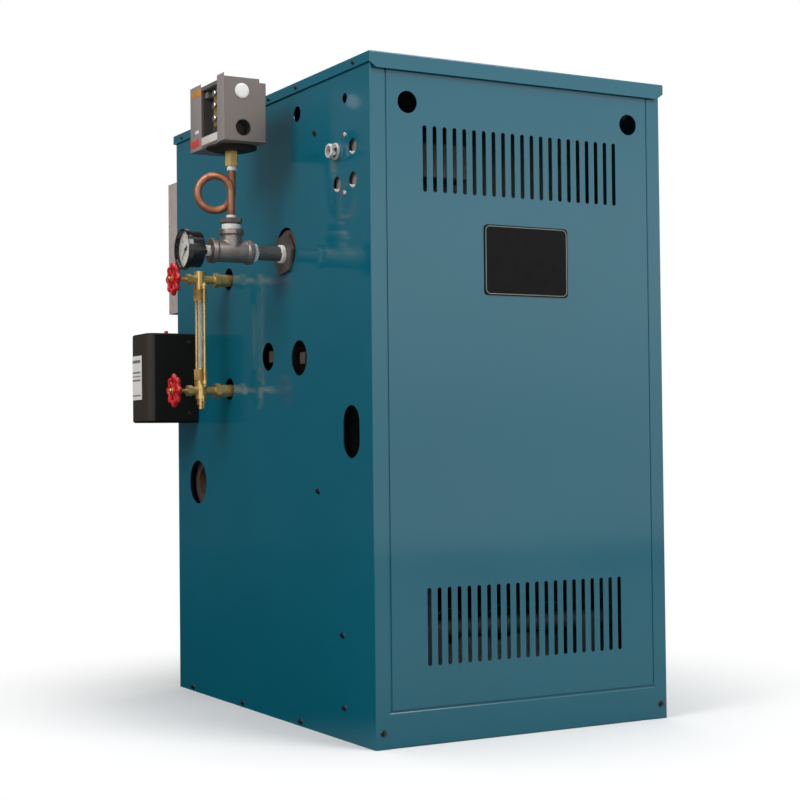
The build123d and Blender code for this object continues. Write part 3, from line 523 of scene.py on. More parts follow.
def dress_nodes():
    """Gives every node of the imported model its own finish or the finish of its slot."""
    for part in frame["record"]["subparts"]:
        finish = OWN_FINISHES.get(part["node"], part["material_slot"])
        for holder in nodes[part["node"]].material_slots:
            holder.material = FINISHES[finish]


# Shapes, drawn in mm on a face: X to the right, Y up, Z out of the face
SMOOTH_ANGLE = radians(38.0)
CORNER_SIGNS = ((1, 1), (-1, 1), (-1, -1), (1, -1))


def turns(count):
    """Angles that share out a full turn."""
    return [2 * pi * index / count for index in range(count)]


def outward(angle):
    """Direction at an angle round the Z axis."""
    return Vector((cos(angle), sin(angle), 0))


def loft(shape, loops, around=False):
    """Skin through loops of points, closed over both ends, or back to the first loop if around."""
    rows = [[shape.verts.new(point) for point in loop] for loop in loops]
    pairs = list(zip(rows, rows[1:]))
    if around:
        pairs.append((rows[-1], rows[0]))
    else:
        shape.faces.new(rows[0])
        shape.faces.new(rows[-1])
    for first, second in pairs:
        for index in range(len(first)):
            after = (index + 1) % len(first)
            shape.faces.new((first[index], first[after], second[after], second[index]))


def lofted(loops, around=False):
    """New shape that is one skin through loops of points."""
    shape = bmesh.new()
    loft(shape, loops, around)
    return shape


def circle(radius, height, count):
    """Loop of points round the Z axis."""
    return [Vector((radius * cos(turn), radius * sin(turn), height)) for turn in turns(count)]


def rounded(width, height, corner, level, steps=8):
    """Loop of points along a rectangle with round corners."""
    points = []
    for quarter, (across, up) in enumerate(CORNER_SIGNS):
        middle = Vector((across * (width / 2 - corner), up * (height / 2 - corner), level))
        for step in range(steps + 1):
            angle = pi / 2 * (quarter + step / steps)
            points.append(middle + outward(angle) * corner)
    return points


def rim_section(direction, radius, half, level, deep, count):
    """Oval section of a rim at one place round the Z axis."""
    return [
        direction * (radius + half * cos(turn)) + Vector((0, 0, level + deep * sin(turn)))
        for turn in turns(count)
    ]


def turned(profile, count):
    """Turned solid from pairs of radius and height."""
    return lofted([circle(radius, height, count) for radius, height in profile])


def hoop(profile, count):
    """Turned ring from a closed section of pairs of radius and height."""
    return lofted([circle(radius, height, count) for radius, height in profile], around=True)


def plate(width, height, corner, low, high, edge):
    """Flat plate with round corners and a softened upper edge."""
    return lofted([
        rounded(width, height, corner, low),
        rounded(width, height, corner, high - edge),
        rounded(width - 2 * edge, height - 2 * edge, corner, high),
    ])


def border(width, height, corner, band, low, high):
    """Raised band along the edge of a plate with round corners."""
    inner = (width - 2 * band, height - 2 * band, corner - band)
    return lofted([
        rounded(width, height, corner, low),
        rounded(width, height, corner, high),
        rounded(*inner, high),
        rounded(*inner, low),
    ], around=True)


def block(x, y, z):
    """Box between two limits on each axis."""
    corners = ((x[0], y[0]), (x[1], y[0]), (x[1], y[1]), (x[0], y[1]))
    return lofted([[Vector((*corner, level)) for corner in corners] for level in z])


def as_mesh(shape):
    """Mesh of a shape, which is freed."""
    mesh = bpy.data.meshes.new("shape")
    shape.to_mesh(mesh)
    shape.free()
    return mesh


def outside_out(shape):
    """Turns the faces of a shape outwards."""
    bmesh.ops.recalc_face_normals(shape, faces=shape.faces)


def laid(shape, face, place):
    """Mesh of a shape, faces outwards, laid on a face at a place."""
    outside_out(shape)
    shape.transform(facing(face, place) @ Matrix.Scale(MM, 4))
    return as_mesh(shape)


def gathered(meshes):
    """One mesh of several."""
    shape = bmesh.new()
    for mesh in meshes:
        shape.from_mesh(mesh)
    return as_mesh(shape)


def finished_mesh(holder):
    """Plain mesh of an object with its modifiers, which is then removed."""
    graph = bpy.context.evaluated_depsgraph_get()
    mesh = bpy.data.meshes.new_from_object(holder.evaluated_get(graph))
    holder.modifiers.clear()
    bpy.data.objects.remove(holder)
    return mesh


def add_piece(name, mesh, finish, body="boiler", stands_for=(), slot=None):
    """Puts a mesh in the scene as a piece of one finish that rides on a body."""
    mesh.materials.clear()
    mesh.materials.append(FINISHES[finish])
    mesh.shade_smooth()
    mesh.set_sharp_from_angle(angle=SMOOTH_ANGLE)
    piece = put_in_scene(name, mesh)
    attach(piece, body)
    if stands_for:
        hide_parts(*stands_for)
    slot = slot or finish


# Trees that grow what repeats
WASHER_TAPER = 0.82
WASHER_SHARE = 0.35
HEAD_TAPER = 0.86
SCREW_SEED = 4
MIDDLE_GREY = (0.5, 0.5, 0.5)
LONG_MARK_EVERY = 5
SHORT_MARK = 0.55
MARK_WIDENING = 0.3
MARK_DEPTH = 0.0002


def end_tree(tree, geometry, finish, result):
    """Last nodes of a tree: real mesh with its finish."""
    real = new_node(tree, "GeometryNodeRealizeInstances", Geometry=geometry)
    painted = new_node(tree, "GeometryNodeSetMaterial", Geometry=real.outputs[0], Material=finish)
    put(tree, result, painted.outputs[0])


def turned_along(tree, direction, axis):
    """Rotation that lays an axis along a direction; gives the output."""
    node = new_node(tree, "FunctionNodeAlignRotationToVector", Vector=direction)
    node.axis = axis
    return node.outputs[0]


def make_screw_tree():
    """Washer-head screws on points that carry the direction they face."""
    tree, given, result = new_group(
        "sheet_screws",
        [("Points", GEOMETRY, None), ("Washer Radius", NUMBER, 0.005), ("Head Radius", NUMBER, 0.0037),
         ("Head Height", NUMBER, 0.004), ("Head Sides", COUNT, 6), ("Finish", FINISH, None)],
        [("Screws", GEOMETRY)], "GeometryNodeTree",
    )
    height = given["Head Height"]
    washer = new_node(
        tree, "GeometryNodeMeshCone", Vertices=20, Radius_Bottom=given["Washer Radius"],
        Radius_Top=calculate(tree, "MULTIPLY", given["Washer Radius"], WASHER_TAPER),
        Depth=calculate(tree, "MULTIPLY", height, WASHER_SHARE),
    )
    head = new_node(
        tree, "GeometryNodeMeshCone", Vertices=given["Head Sides"], Radius_Bottom=given["Head Radius"],
        Radius_Top=calculate(tree, "MULTIPLY", given["Head Radius"], HEAD_TAPER), Depth=height,
    )
    both = tree.nodes.new("GeometryNodeJoinGeometry")
    for source in (washer, head):
        tree.links.new(source.outputs["Mesh"], both.inputs[0])
    named = tree.nodes.new("GeometryNodeInputNamedAttribute")
    named.data_type = "FLOAT_VECTOR"
    named.inputs["Name"].default_value = "facing"
    stood = new_node(
        tree, "GeometryNodeInstanceOnPoints", Points=given["Points"], Instance=both.outputs[0],
        Rotation=turned_along(tree, named.outputs["Attribute"], "Z"),
    )
    spin = tree.nodes.new("FunctionNodeRandomValue")
    spin.data_type = "FLOAT_VECTOR"
    spin.inputs["Max"].default_value = (0.0, 0.0, pi)
    spin.inputs["Seed"].default_value = SCREW_SEED
    spun = new_node(
        tree, "GeometryNodeRotateInstances", Instances=stood.outputs[0], Rotation=spin.outputs["Value"]
    )
    end_tree(tree, spun.outputs[0], given["Finish"], result["Screws"])
    return tree


def make_tape_tree():
    """Thread tape: one ragged strand wound round the Z axis."""
    tree, given, result = new_group(
        "thread_tape",
        [("Radius", NUMBER, 0.012), ("Length", NUMBER, 0.005), ("Turns", NUMBER, 4.0),
         ("Strand", NUMBER, 0.001), ("Ragged", NUMBER, 0.0008), ("Finish", FINISH, None)],
        [("Tape", GEOMETRY)], "GeometryNodeTree",
    )
    wound = new_node(
        tree, "GeometryNodeCurveSpiral", Resolution=36, Rotations=given["Turns"],
        Start_Radius=given["Radius"], End_Radius=given["Radius"], Height=given["Length"],
    )
    section = new_node(tree, "GeometryNodeCurvePrimitiveCircle", Resolution=8, Radius=given["Strand"])
    skin = new_node(
        tree, "GeometryNodeCurveToMesh", Curve=wound.outputs[0], Profile_Curve=section.outputs[0],
        Fill_Caps=True,
    )
    fray = new_node(tree, "ShaderNodeTexNoise", Scale=260.0, Detail=2.0)
    centred = on_vectors(tree, "SUBTRACT", fray.outputs["Color"], second=MIDDLE_GREY)["Vector"]
    offset = on_vectors(tree, "SCALE", centred, scale=given["Ragged"])["Vector"]
    moved = new_node(tree, "GeometryNodeSetPosition", Geometry=skin.outputs[0], Offset=offset)
    end_tree(tree, moved.outputs[0], given["Finish"], result["Tape"])
    return tree


def make_mark_tree():
    """Dial marks along an arc, every fifth one longer."""
    tree, given, result = new_group(
        "dial_marks",
        [("Radius", NUMBER, 0.024), ("Count", COUNT, 31), ("Start", NUMBER, 0.0), ("Sweep", NUMBER, 4.7),
         ("Mark Length", NUMBER, 0.004), ("Mark Width", NUMBER, 0.0007), ("Finish", FINISH, None)],
        [("Marks", GEOMETRY)], "GeometryNodeTree",
    )
    arc = new_node(
        tree, "GeometryNodeCurveArc", Resolution=96, Radius=given["Radius"],
        Start_Angle=given["Start"], Sweep_Angle=given["Sweep"],
    )
    spots = new_node(tree, "GeometryNodeCurveToPoints", Curve=arc.outputs["Curve"], Count=given["Count"])
    place = tree.nodes.new("GeometryNodeInputPosition").outputs[0]
    index = tree.nodes.new("GeometryNodeInputIndex").outputs[0]
    rest = calculate(tree, "MODULO", index, float(LONG_MARK_EVERY))
    is_long = calculate(tree, "COMPARE", rest, 0.0, 0.1)
    extra = calculate(tree, "MULTIPLY", is_long, 1.0 - SHORT_MARK)
    share = calculate(tree, "ADD", SHORT_MARK, extra)
    wide = calculate(tree, "ADD", share, MARK_WIDENING)
    scale = new_node(
        tree, "ShaderNodeCombineXYZ", X=calculate(tree, "MULTIPLY", given["Mark Length"], share),
        Y=calculate(tree, "MULTIPLY", given["Mark Width"], wide), Z=MARK_DEPTH,
    )
    bar = new_node(tree, "GeometryNodeMeshCube", Size=(1.0, 1.0, 1.0))
    stood = new_node(
        tree, "GeometryNodeInstanceOnPoints", Points=spots.outputs["Points"],
        Instance=bar.outputs["Mesh"], Rotation=turned_along(tree, place, "X"), Scale=scale.outputs[0],
    )
    end_tree(tree, stood.outputs[0], given["Finish"], result["Marks"])
    return tree


SCREW_TREE = make_screw_tree()
TAPE_TREE = make_tape_tree()
MARK_TREE = make_mark_tree()


def grown(tree, finish, points=None, **inputs):
    """Plain mesh that a tree grows, from a mesh of points if it needs one."""
    holder = put_in_scene("holder", points or bpy.data.meshes.new("nothing"))
    modifier = holder.modifiers.new("tree", "NODES")
    modifier.node_group = tree
    values = {name.replace("_", " "): value for name, value in inputs.items()}
    values["Finish"] = FINISHES[finish]
    for item in tree.interface.items_tree:
        if item.in_out == "INPUT" and item.name in values:
            modifier[item.identifier] = values[item.name]
    return finished_mesh(holder)


# Screws of one side sheet and of the wiring box: from the front and above the floor, in mm
SIDE_SCREWS = ((178.5, 925), (177.7, 371), (100, 157), (97, 49), (471, 8), (247, 8), (690, 8))
BOX_SCREWS = ((81, 906), (83, 819))
LID_SCREWS = (44, 238, 340, 540, 718)
LID_SCREW_HEIGHT = 1007.0
STRIP_SCREWS_X = (-252.0, 252.0)
STRIP_SCREW_HEIGHT = 24.0
REAR_SCREWS_X = (-246.0, 246.0)
REAR_SCREWS_Z = (40, 275, 510, 745, 985)

# Screws and nuts that differ from the sheet screws, in metres
HEAD_SIZES = {
    "sheet": {},
    "lid": {"Washer_Radius": 0.0036, "Head_Radius": 0.0027, "Head_Height": 0.0030},
    "box": {"Washer_Radius": 0.0042, "Head_Radius": 0.0040, "Head_Height": 0.0030, "Head_Sides": 20},
    "connector": {"Washer_Radius": 0.0040, "Head_Radius": 0.0038, "Head_Height": 0.0042, "Head_Sides": 24},
    "rod_nut": {"Washer_Radius": 0.0045, "Head_Radius": 0.0042, "Head_Height": 0.0042, "Head_Sides": 6},
    "cutoff": {"Washer_Radius": 0.0036, "Head_Radius": 0.0034, "Head_Height": 0.0022, "Head_Sides": 20},
}


def screw_points(spots):
    """Mesh of points with the direction each one faces."""
    mesh = bpy.data.meshes.new("spots")
    mesh.from_pydata([place for place, _ in spots], [], [])
    facing_out = mesh.attributes.new("facing", "FLOAT_VECTOR", "POINT")
    facing_out.data.foreach_set("vector", [value for _, face in spots for value in FACE_AXES[face][2]])
    return mesh


def add_heads(name, kind, finish, spots, slot=None):
    """Screws or nuts of one kind, one on each pair of place and face, as one piece."""
    heads = grown(SCREW_TREE, finish, screw_points(spots), **HEAD_SIZES[kind])
    add_piece(name, heads, finish, slot=slot)


def on_both_sides(left, right, spots):
    """Pairs of place and face on two side faces, from spots in mm from the front and the floor."""
    pairs = []
    for from_front, height in spots:
        y, z = FRONT + from_front * MM, height * MM
        pairs += [(Vector((left, y, z)), "left"), (Vector((right, y, z)), "right")]
    return pairs


def add_screws():
    """Dark sheet screws all round the jacket, and the bright ones of the wiring box."""
    lid = on_both_sides(LID_LOW.x, LID_HIGH.x, [(spot, LID_SCREW_HEIGHT) for spot in LID_SCREWS])
    add_heads("lid_screws", "lid", "screw_dark", lid)
    dark = on_both_sides(LEFT, RIGHT, SIDE_SCREWS)
    dark += [(Vector((x * MM, FRONT, STRIP_SCREW_HEIGHT * MM)), "front") for x in STRIP_SCREWS_X]
    dark += [(Vector((x * MM, REAR, z * MM)), "rear") for x in REAR_SCREWS_X for z in REAR_SCREWS_Z]
    add_heads("jacket_screws", "sheet", "screw_dark", dark)
    bright = [(side(0, *spot), "left") for spot in BOX_SCREWS]
    add_heads("wiring_box_screws", "box", "zinc", bright)


# Conduit connector: pairs of radius and distance out of the side sheet, in mm
CONNECTOR_FLANGE = ((7.5, 0.0), (12.0, 0.3), (12.6, 1.0), (12.6, 4.0), (11.8, 4.8), (7.5, 4.8))
CONNECTOR_CLAMP = ((7.5, 8.6), (10.4, 9.0), (10.8, 9.8), (10.8, 14.0), (10.0, 14.8), (7.5, 14.8))
CONNECTOR_NECK = ((7.6, -10.8), (10.8, -10.8), (10.8, 0.1), (8.9, 0.4), (8.9, 8.7), (7.6, 8.7))
CONNECTOR_SIDES = 48
# Its two screws, in metres
CONNECTOR_SCREWS_OUT = 0.0118
CONNECTOR_SCREWS_NEAR = 0.0098
CONNECTOR_SCREW_RISES = (-0.0050, 0.0050)


def add_connector():
    """Zinc connector with its flange, dark neck, clamp ring and two screws."""
    middle = middle_of("conduit_connector")
    place = Vector((LEFT, middle.y, middle.z))
    rings = [
        laid(hoop(section, CONNECTOR_SIDES), "left", place)
        for section in (CONNECTOR_FLANGE, CONNECTOR_CLAMP)
    ]
    add_piece("connector_rings", gathered(rings), "fitting_zinc", stands_for=("conduit_connector",),
              slot="zinc")
    neck = hoop(CONNECTOR_NECK, CONNECTOR_SIDES)
    add_piece("connector_neck", laid(neck, "left", place), "screw_dark")
    x, y = LEFT - CONNECTOR_SCREWS_OUT, middle.y - CONNECTOR_SCREWS_NEAR
    spots = [(Vector((x, y, middle.z + rise)), "front") for rise in CONNECTOR_SCREW_RISES]
    add_heads("connector_screws", "connector", "fitting_zinc", spots, slot="zinc")


# Open knockouts: from the front and above the floor, and the bright crescent at the foot of each, a painted
# highlight where light through the hole falls, in mm
OPEN_KNOCKOUTS = ((55, 835), (55, 885), (106, 835))
HIGHLIGHT_RADIUS = 12.0
HIGHLIGHT_BEHIND = 1.6
HIGHLIGHT_HALF_DEPTH = 1.5
HIGHLIGHT_THIN = 0.3
HIGHLIGHT_SWELL = 2.4
HIGHLIGHT_START = 205.0
HIGHLIGHT_SWEEP = 120.0
HIGHLIGHT_STEPS = 12
HIGHLIGHT_SIDES = 10


def knockout_lip():
    """Crescent along the foot of a knockout, thickest in its middle, shaped as a painted highlight."""
    loops = []
    for step in range(HIGHLIGHT_STEPS + 1):
        direction = outward(radians(HIGHLIGHT_START + HIGHLIGHT_SWEEP * step / HIGHLIGHT_STEPS))
        thick = HIGHLIGHT_THIN + HIGHLIGHT_SWELL * sin(pi * step / HIGHLIGHT_STEPS)
        loops.append(rim_section(direction, HIGHLIGHT_RADIUS - thick, thick, 0.0, HIGHLIGHT_HALF_DEPTH, HIGHLIGHT_SIDES))
    return lofted(loops)


def add_knockout_lips():
    """Bright crescents in the open knockouts: painted highlights where light through each hole falls on its
    foot.
    """
    highlights = [laid(knockout_lip(), "left", side(-HIGHLIGHT_BEHIND, *spot)) for spot in OPEN_KNOCKOUTS]
    add_piece("knockout_painted_highlights", gathered(highlights), "fitting_zinc", slot="zinc")


# Steam trim
TRIM_FROM_FRONT = 288.0
TRIM_HEIGHT = 748.0
TEE_TAPE_BACK = 0.0072
TEE_MERGE = 0.00001
TEE_VOXEL = 0.0008
TEE_SMOOTHING = 0.5
TEE_SMOOTH_ROUNDS = 5


def add_thread_tape():
    """White tape on the threads of the trim."""
    tee_low, tee_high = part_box("trim_tee")
    adapter_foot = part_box("siphon_adapter")[0].z
    reducer_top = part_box("tee_bushing")[1].z
    bushing_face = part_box("tapping_bushing")[0].x
    trim_y, trim_z = FRONT + TRIM_FROM_FRONT * MM, TRIM_HEIGHT * MM
    branch_x = middle_of("tee_bushing").x
    adapter = middle_of("siphon_adapter")
    # Face, place in metres, then radius, length, turns and half a strand's thickness, in mm
    wraps = (
        ("left", (bushing_face, trim_y, trim_z), 12.8, 6.0, 4.0, 1.7),
        ("left", (tee_high.x + TEE_TAPE_BACK, trim_y, trim_z), 12.9, 6.6, 5.0, 1.6),
        ("left", (tee_low.x, trim_y, trim_z), 7.0, 7.0, 5.0, 1.3),
        ("top", (branch_x, trim_y, tee_high.z), 13.6, 7.5, 5.0, 1.5),
        ("top", (branch_x, trim_y, reducer_top), 6.6, 5.0, 4.0, 1.1),
        ("under", (adapter.x, adapter.y, adapter_foot), 6.6, 6.5, 5.0, 1.1),
    )
    meshes = []
    for face, place, radius, length, rounds, strand in wraps:
        wrap = grown(
            TAPE_TREE, "thread_tape", Radius=radius * MM, Length=length * MM, Turns=rounds,
            Strand=strand * MM,
        )
        wrap.transform(facing(face, Vector(place)))
        meshes.append(wrap)
    add_piece("thread_tape", gathered(meshes), "thread_tape")


def add_cast_tee():
    """Tee with the soft junctions of a casting."""
    mesh = nodes["trim_tee"].data.copy()
    shape = bmesh.new()
    shape.from_mesh(mesh)
    bmesh.ops.remove_doubles(shape, verts=shape.verts, dist=TEE_MERGE)
    shape.to_mesh(mesh)
    shape.free()
    if "custom_normal" in mesh.attributes:
        mesh.attributes.remove(mesh.attributes["custom_normal"])
    holder = put_in_scene("holder", mesh)
    remesh = holder.modifiers.new("skin", "REMESH")
    remesh.mode = "VOXEL"
    remesh.voxel_size = TEE_VOXEL
    soften = holder.modifiers.new("soften", "SMOOTH")
    soften.factor = TEE_SMOOTHING
    soften.iterations = TEE_SMOOTH_ROUNDS
    add_piece("cast_tee", finished_mesh(holder), "tee_iron", stands_for=("trim_tee",),
              slot="malleable_iron")


# Steam gauge dial, in mm
DIAL_SWEEP = radians(270.0)
DIAL_START = radians(-45.0)
DIAL_TOP_MARK = 30
MARK_INSET = 4.0
NUMBER_INSET = 10.0
NUMBER_SIZE = 5.2
NUMBER_DEPTH = 0.05
NUMBER_LEVEL = 0.1
POINTER_INSET = 5.0
POINTER_LEVELS = (1.2, 1.7)
POINTER_NECK = (2, 1.0)
POINTER_TAIL = (-8, 1.4)
POINTER_BOSS = ((2.6, 0.1), (2.6, 2.0), (1.8, 2.6))


def words(text, size, place):
    """Mesh of a word, middle on a place in mm, flat on the face."""
    curve = bpy.data.curves.new("word", "FONT")
    curve.body = text
    curve.size = size
    curve.align_x = "CENTER"
    curve.align_y = "CENTER"
    curve.extrude = NUMBER_DEPTH
    mesh = finished_mesh(put_in_scene("word", curve))
    mesh.transform(Matrix.Translation(Vector((*place, NUMBER_LEVEL))))
    return mesh


def dial_numbers(dial_radius):
    """Mesh of the numbers round the dial, in mm."""
    numbers = []
    for value in range(0, DIAL_TOP_MARK + 1, LONG_MARK_EVERY):
        angle = DIAL_START + DIAL_SWEEP * (1 - value / DIAL_TOP_MARK)
        spot = (cos(angle) * (dial_radius - NUMBER_INSET), sin(angle) * (dial_radius - NUMBER_INSET))
        numbers.append(words(str(value), NUMBER_SIZE, spot))
    return gathered(numbers)


def dial_pointer(dial_radius):
    """Tapered pointer at zero."""
    zero = DIAL_START + DIAL_SWEEP
    along, across = outward(zero), Vector((-sin(zero), cos(zero), 0))
    (neck, half_neck), (tail, half_tail) = POINTER_NECK, POINTER_TAIL
    outline = (
        along * (dial_radius - POINTER_INSET),
        along * neck + across * half_neck,
        along * tail + across * half_tail,
        along * tail - across * half_tail,
        along * neck - across * half_neck,
    )
    return lofted([[point + Vector((0, 0, level)) for point in outline] for level in POINTER_LEVELS])


def add_gauge_face():
    """Marks, numbers, pointer and boss on the dial."""
    low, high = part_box("steam_gauge_dial")
    middle = middle_of("steam_gauge_dial")
    dial_radius = (high.z - low.z) / 2 / MM
    place = Vector((low.x, middle.y, middle.z))
    marks = grown(
        MARK_TREE, "print_black", Radius=(dial_radius - MARK_INSET) * MM, Start=DIAL_START,
        Sweep=DIAL_SWEEP, Count=DIAL_TOP_MARK + 1,
    )
    marks.transform(facing("left", place))
    lettering = dial_numbers(dial_radius)
    lettering.transform(facing("left", place) @ Matrix.Scale(MM, 4))
    add_piece("dial_marks", gathered([marks, lettering]), "print_black")
    hand = laid(dial_pointer(dial_radius), "left", place)
    boss = laid(turned(POINTER_BOSS, 24), "left", place)
    add_piece("dial_pointer", gathered([hand, boss]), "print_black")


# Handwheels: sizes and distances out of the side sheet, in mm; each pair is a mean and its wave
WHEEL_LOBES = 8
RIM_STEPS = 160
RIM_SIDES = 14
RIM_RADIUS = (22.0, 2.0)
RIM_HALF = (3.9, 0.8)
RIM_HALF_DEPTH = (4.1, 0.4)
RIM_OUT = 101.5
SPOKE_SIDES = 12
# Sections of a spoke: distance from the hub's middle, half width, half depth, distance out
SPOKE_SECTIONS = (
    (5.0, 2.9, 3.4, 100.0),
    (10.0, 2.3, 2.8, 100.2),
    (15.0, 2.6, 2.8, 100.8),
    (20.5, 4.2, 3.2, 101.5),
)
WHEEL_HUB = ((6.4, 91.2), (7.8, 92.4), (8.0, 97.0), (8.4, 103.5), (7.6, 105.2), (6.6, 105.6))
WHEEL_NUT = ((5.4, 105.4), (5.4, 106.2), (4.4, 106.3), (4.4, 109.4), (3.7, 110.0))


def waved(size, wave):
    """Size that swells with the lobes, from its mean and its wave."""
    mean, swell = size
    return mean + swell * wave


def wheel_rim():
    """Lobed rim of a handwheel."""
    loops = []
    for angle in turns(RIM_STEPS):
        wave = cos(WHEEL_LOBES * angle)
        loops.append(rim_section(
            outward(angle), waved(RIM_RADIUS, wave), waved(RIM_HALF, wave), RIM_OUT,
            waved(RIM_HALF_DEPTH, wave), RIM_SIDES,
        ))
    return lofted(loops, around=True)


def wheel_spoke(angle):
    """Oval spoke of a handwheel, widest at the rim."""
    along, across = outward(angle), Vector((-sin(angle), cos(angle), 0))
    loops = []
    for reach, wide, deep, out in SPOKE_SECTIONS:
        loops.append([
            along * reach + across * wide * cos(turn) + Vector((0, 0, out + deep * sin(turn)))
            for turn in turns(SPOKE_SIDES)
        ])
    return lofted(loops)


def add_handwheels():
    """Red handwheels, a spoke under each lobe, with a brass nut on each stem."""
    for level, body in WHEEL_BODIES.items():
        stem = middle_of(f"{level}_valve_stem")
        place = Vector((LEFT, stem.y, stem.z))
        shapes = [wheel_rim(), *map(wheel_spoke, turns(WHEEL_LOBES)), turned(WHEEL_HUB, 40)]
        wheel = gathered([laid(shape, "left", place) for shape in shapes])
        add_piece(f"{level}_red_wheel", wheel, "wheel_red", body, (f"{level}_handwheel",))
        nut = laid(turned(WHEEL_NUT, 6), "left", place)
        add_piece(f"{level}_wheel_nut", nut, "brass", body)


# Water gauge, in mm, and its guard rods, in metres
TUBE_RADIUS = 4.7
TUBE_BORE = 3.3
TUBE_SIDES = 48
PACKING_HEIGHT = 24.0
ROD_RADIUS = 0.0024
ROD_NUT_INSET = 0.003
LEVER_BAR = ((1.2, -10.5), (1.7, -9.5), (1.7, 9.5), (1.2, 10.5))
LEVER_STEM = ((2.2, 4.0), (2.2, 9.0), (3.0, 9.4), (3.0, 12.2), (2.4, 13.0))
LEVER_SIDES = 16
LEVER_RISE = 0.011
LEVER_REACH = 0.011


def sleeve(bore, radius, start, end):
    """Plain tube between two heights."""
    return hoop(((bore, start), (radius, start), (radius, end), (bore, end)), TUBE_SIDES)


def add_gauge_tube():
    """Slim glass tube that leaves both guard rods in view, with a packing ring at each end."""
    low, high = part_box("gauge_glass")
    middle = middle_of("gauge_glass")
    wide, length = (high.x - low.x) / 2 / MM, (high.z - low.z) / MM
    place = Vector((middle.x, middle.y, low.z))
    tube = laid(sleeve(TUBE_BORE, TUBE_RADIUS, 0.0, length), "top", place)
    add_piece("gauge_tube", tube, "aged_glass", stands_for=("gauge_glass",), slot="clear_glass")
    rings = []
    for start in (0.0, length - PACKING_HEIGHT):
        ring = sleeve(TUBE_RADIUS, wide, start, start + PACKING_HEIGHT)
        rings.append(laid(ring, "top", place))
    add_piece("glass_packing", gathered(rings), "brass")


def add_rod_nuts():
    """Brass nuts on the guard rods, above and below the valves' ears."""
    low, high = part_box("guard_rods")
    x = middle_of("guard_rods").x
    top, foot = high.z - ROD_NUT_INSET, low.z + ROD_NUT_INSET
    ends = []
    for y in (low.y + ROD_RADIUS, high.y - ROD_RADIUS):
        ends += [(Vector((x, y, top)), "top"), (Vector((x, y, foot)), "under")]
    add_heads("guard_rod_nuts", "rod_nut", "brass", ends)


def add_drain_lever():
    """Small tee handle across the drain cock."""
    middle = middle_of("gauge_drain_cock")
    place = Vector((middle.x, middle.y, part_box("gauge_drain_cock")[0].z + LEVER_RISE))
    bar = laid(turned(LEVER_BAR, LEVER_SIDES), "top", place + Vector((0, -LEVER_REACH, 0)))
    stem = laid(turned(LEVER_STEM, LEVER_SIDES), "front", place)
    add_piece("drain_lever", gathered([bar, stem]), "brass")


# Works in the pressure control's window, in mm; limits are across, up and out of the back
BOARD_GAP = 0.2
BOARD_OUT = (0.1, 5.0)
LEDGE_FROM_NEAR = (24.0, 6.0)
LEDGE_MARGIN = 8.0
LEDGE_OUT = (5.0, 9.0)
# Thin dark sheet over the case's inner far wall, painted shade:
SHADE_WALL_ACROSS = (0.05, 0.5)
SHADE_WALL_OUT = (0.1, 21.0)
TERMINALS_FROM_FRONT = 293
TERMINAL_HEIGHTS = (997, 978, 957.5)
TERMINAL_POST = ((5.6, 8.5), (5.6, 15.5), (3.6, 15.6), (3.6, 19.0))
TERMINAL_CAP = ((5.8, 19.0), (5.8, 20.6), (5.0, 21.3))
TERMINAL_STRIP = ((-6.0, 6.0), (-29.0, 29.0), (8.8, 15.0))
TERMINAL_STRIP_SPOT = (299, 976)
SWITCH_BLOCK = ((-9.0, 9.0), (-4.5, 4.5), (5.0, 18.0))
SWITCH_BLOCK_SPOT = (330, 1001)


def add_control_works():
    """Dark board, a dark sheet over the case's inner wall that paints its shade, terminals and a small
    block inside the control's window.
    """
    low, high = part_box("control_works")
    width, tall = (high.y - FRONT) / MM - (low.y - FRONT) / MM, high.z / MM - low.z / MM
    board_up = (BOARD_GAP, tall - BOARD_GAP)
    shapes = (
        block((BOARD_GAP, width - BOARD_GAP), board_up, BOARD_OUT),
        block([width - inset for inset in LEDGE_FROM_NEAR], (LEDGE_MARGIN, tall - LEDGE_MARGIN), LEDGE_OUT),
        # dark sheet that paints the shade on the case's inner wall
        block(SHADE_WALL_ACROSS, board_up, SHADE_WALL_OUT),
    )
    corner = Vector((high.x, high.y, low.z))
    board = gathered([laid(shape, "left", corner) for shape in shapes])
    add_piece("control_board", board, "control_dark", stands_for=("control_works",))
    back = (LEFT - high.x) / MM
    posts, caps = [], []
    for height in TERMINAL_HEIGHTS:
        spot = side(back, TERMINALS_FROM_FRONT, height)
        posts.append(laid(turned(TERMINAL_POST, 24), "left", spot))
        caps.append(laid(turned(TERMINAL_CAP, 24), "left", spot))
    posts.append(laid(block(*TERMINAL_STRIP), "left", side(back, *TERMINAL_STRIP_SPOT)))
    add_piece("control_terminals", gathered(posts), "brass")
    add_piece("control_terminal_screws", gathered(caps), "zinc")
    switch = laid(block(*SWITCH_BLOCK), "left", side(back, *SWITCH_BLOCK_SPOT))
    add_piece("control_block", switch, "gas_valve_grey")


# Seal, painted-shade cup in the knockout and bare labels of the control; spots are out of the side sheet
# and up, in mm
CONTROL_SEAL = ((11.7, 0.0), (11.7, 0.9), (10.8, 1.6), (8.8, 1.9))
CONTROL_SEAL_SPOT = (97.0, 993)
CONTROL_SHADE_CUP = ((12.9, -24.8), (12.9, -0.8), (12.5, -0.8), (12.5, -24.2))
CONTROL_SHADE_CUP_SPOT = (95.0, 936)
CONTROL_ROUND_SIDES = 48
WINDOW_SUNK = 2.5
LABEL_LEVELS = (0.02, 0.35)
LABEL_CORNER = 0.8
LABEL_EDGE = 0.08
ON_STRIP = WINDOW_SUNK - LABEL_LEVELS[1]
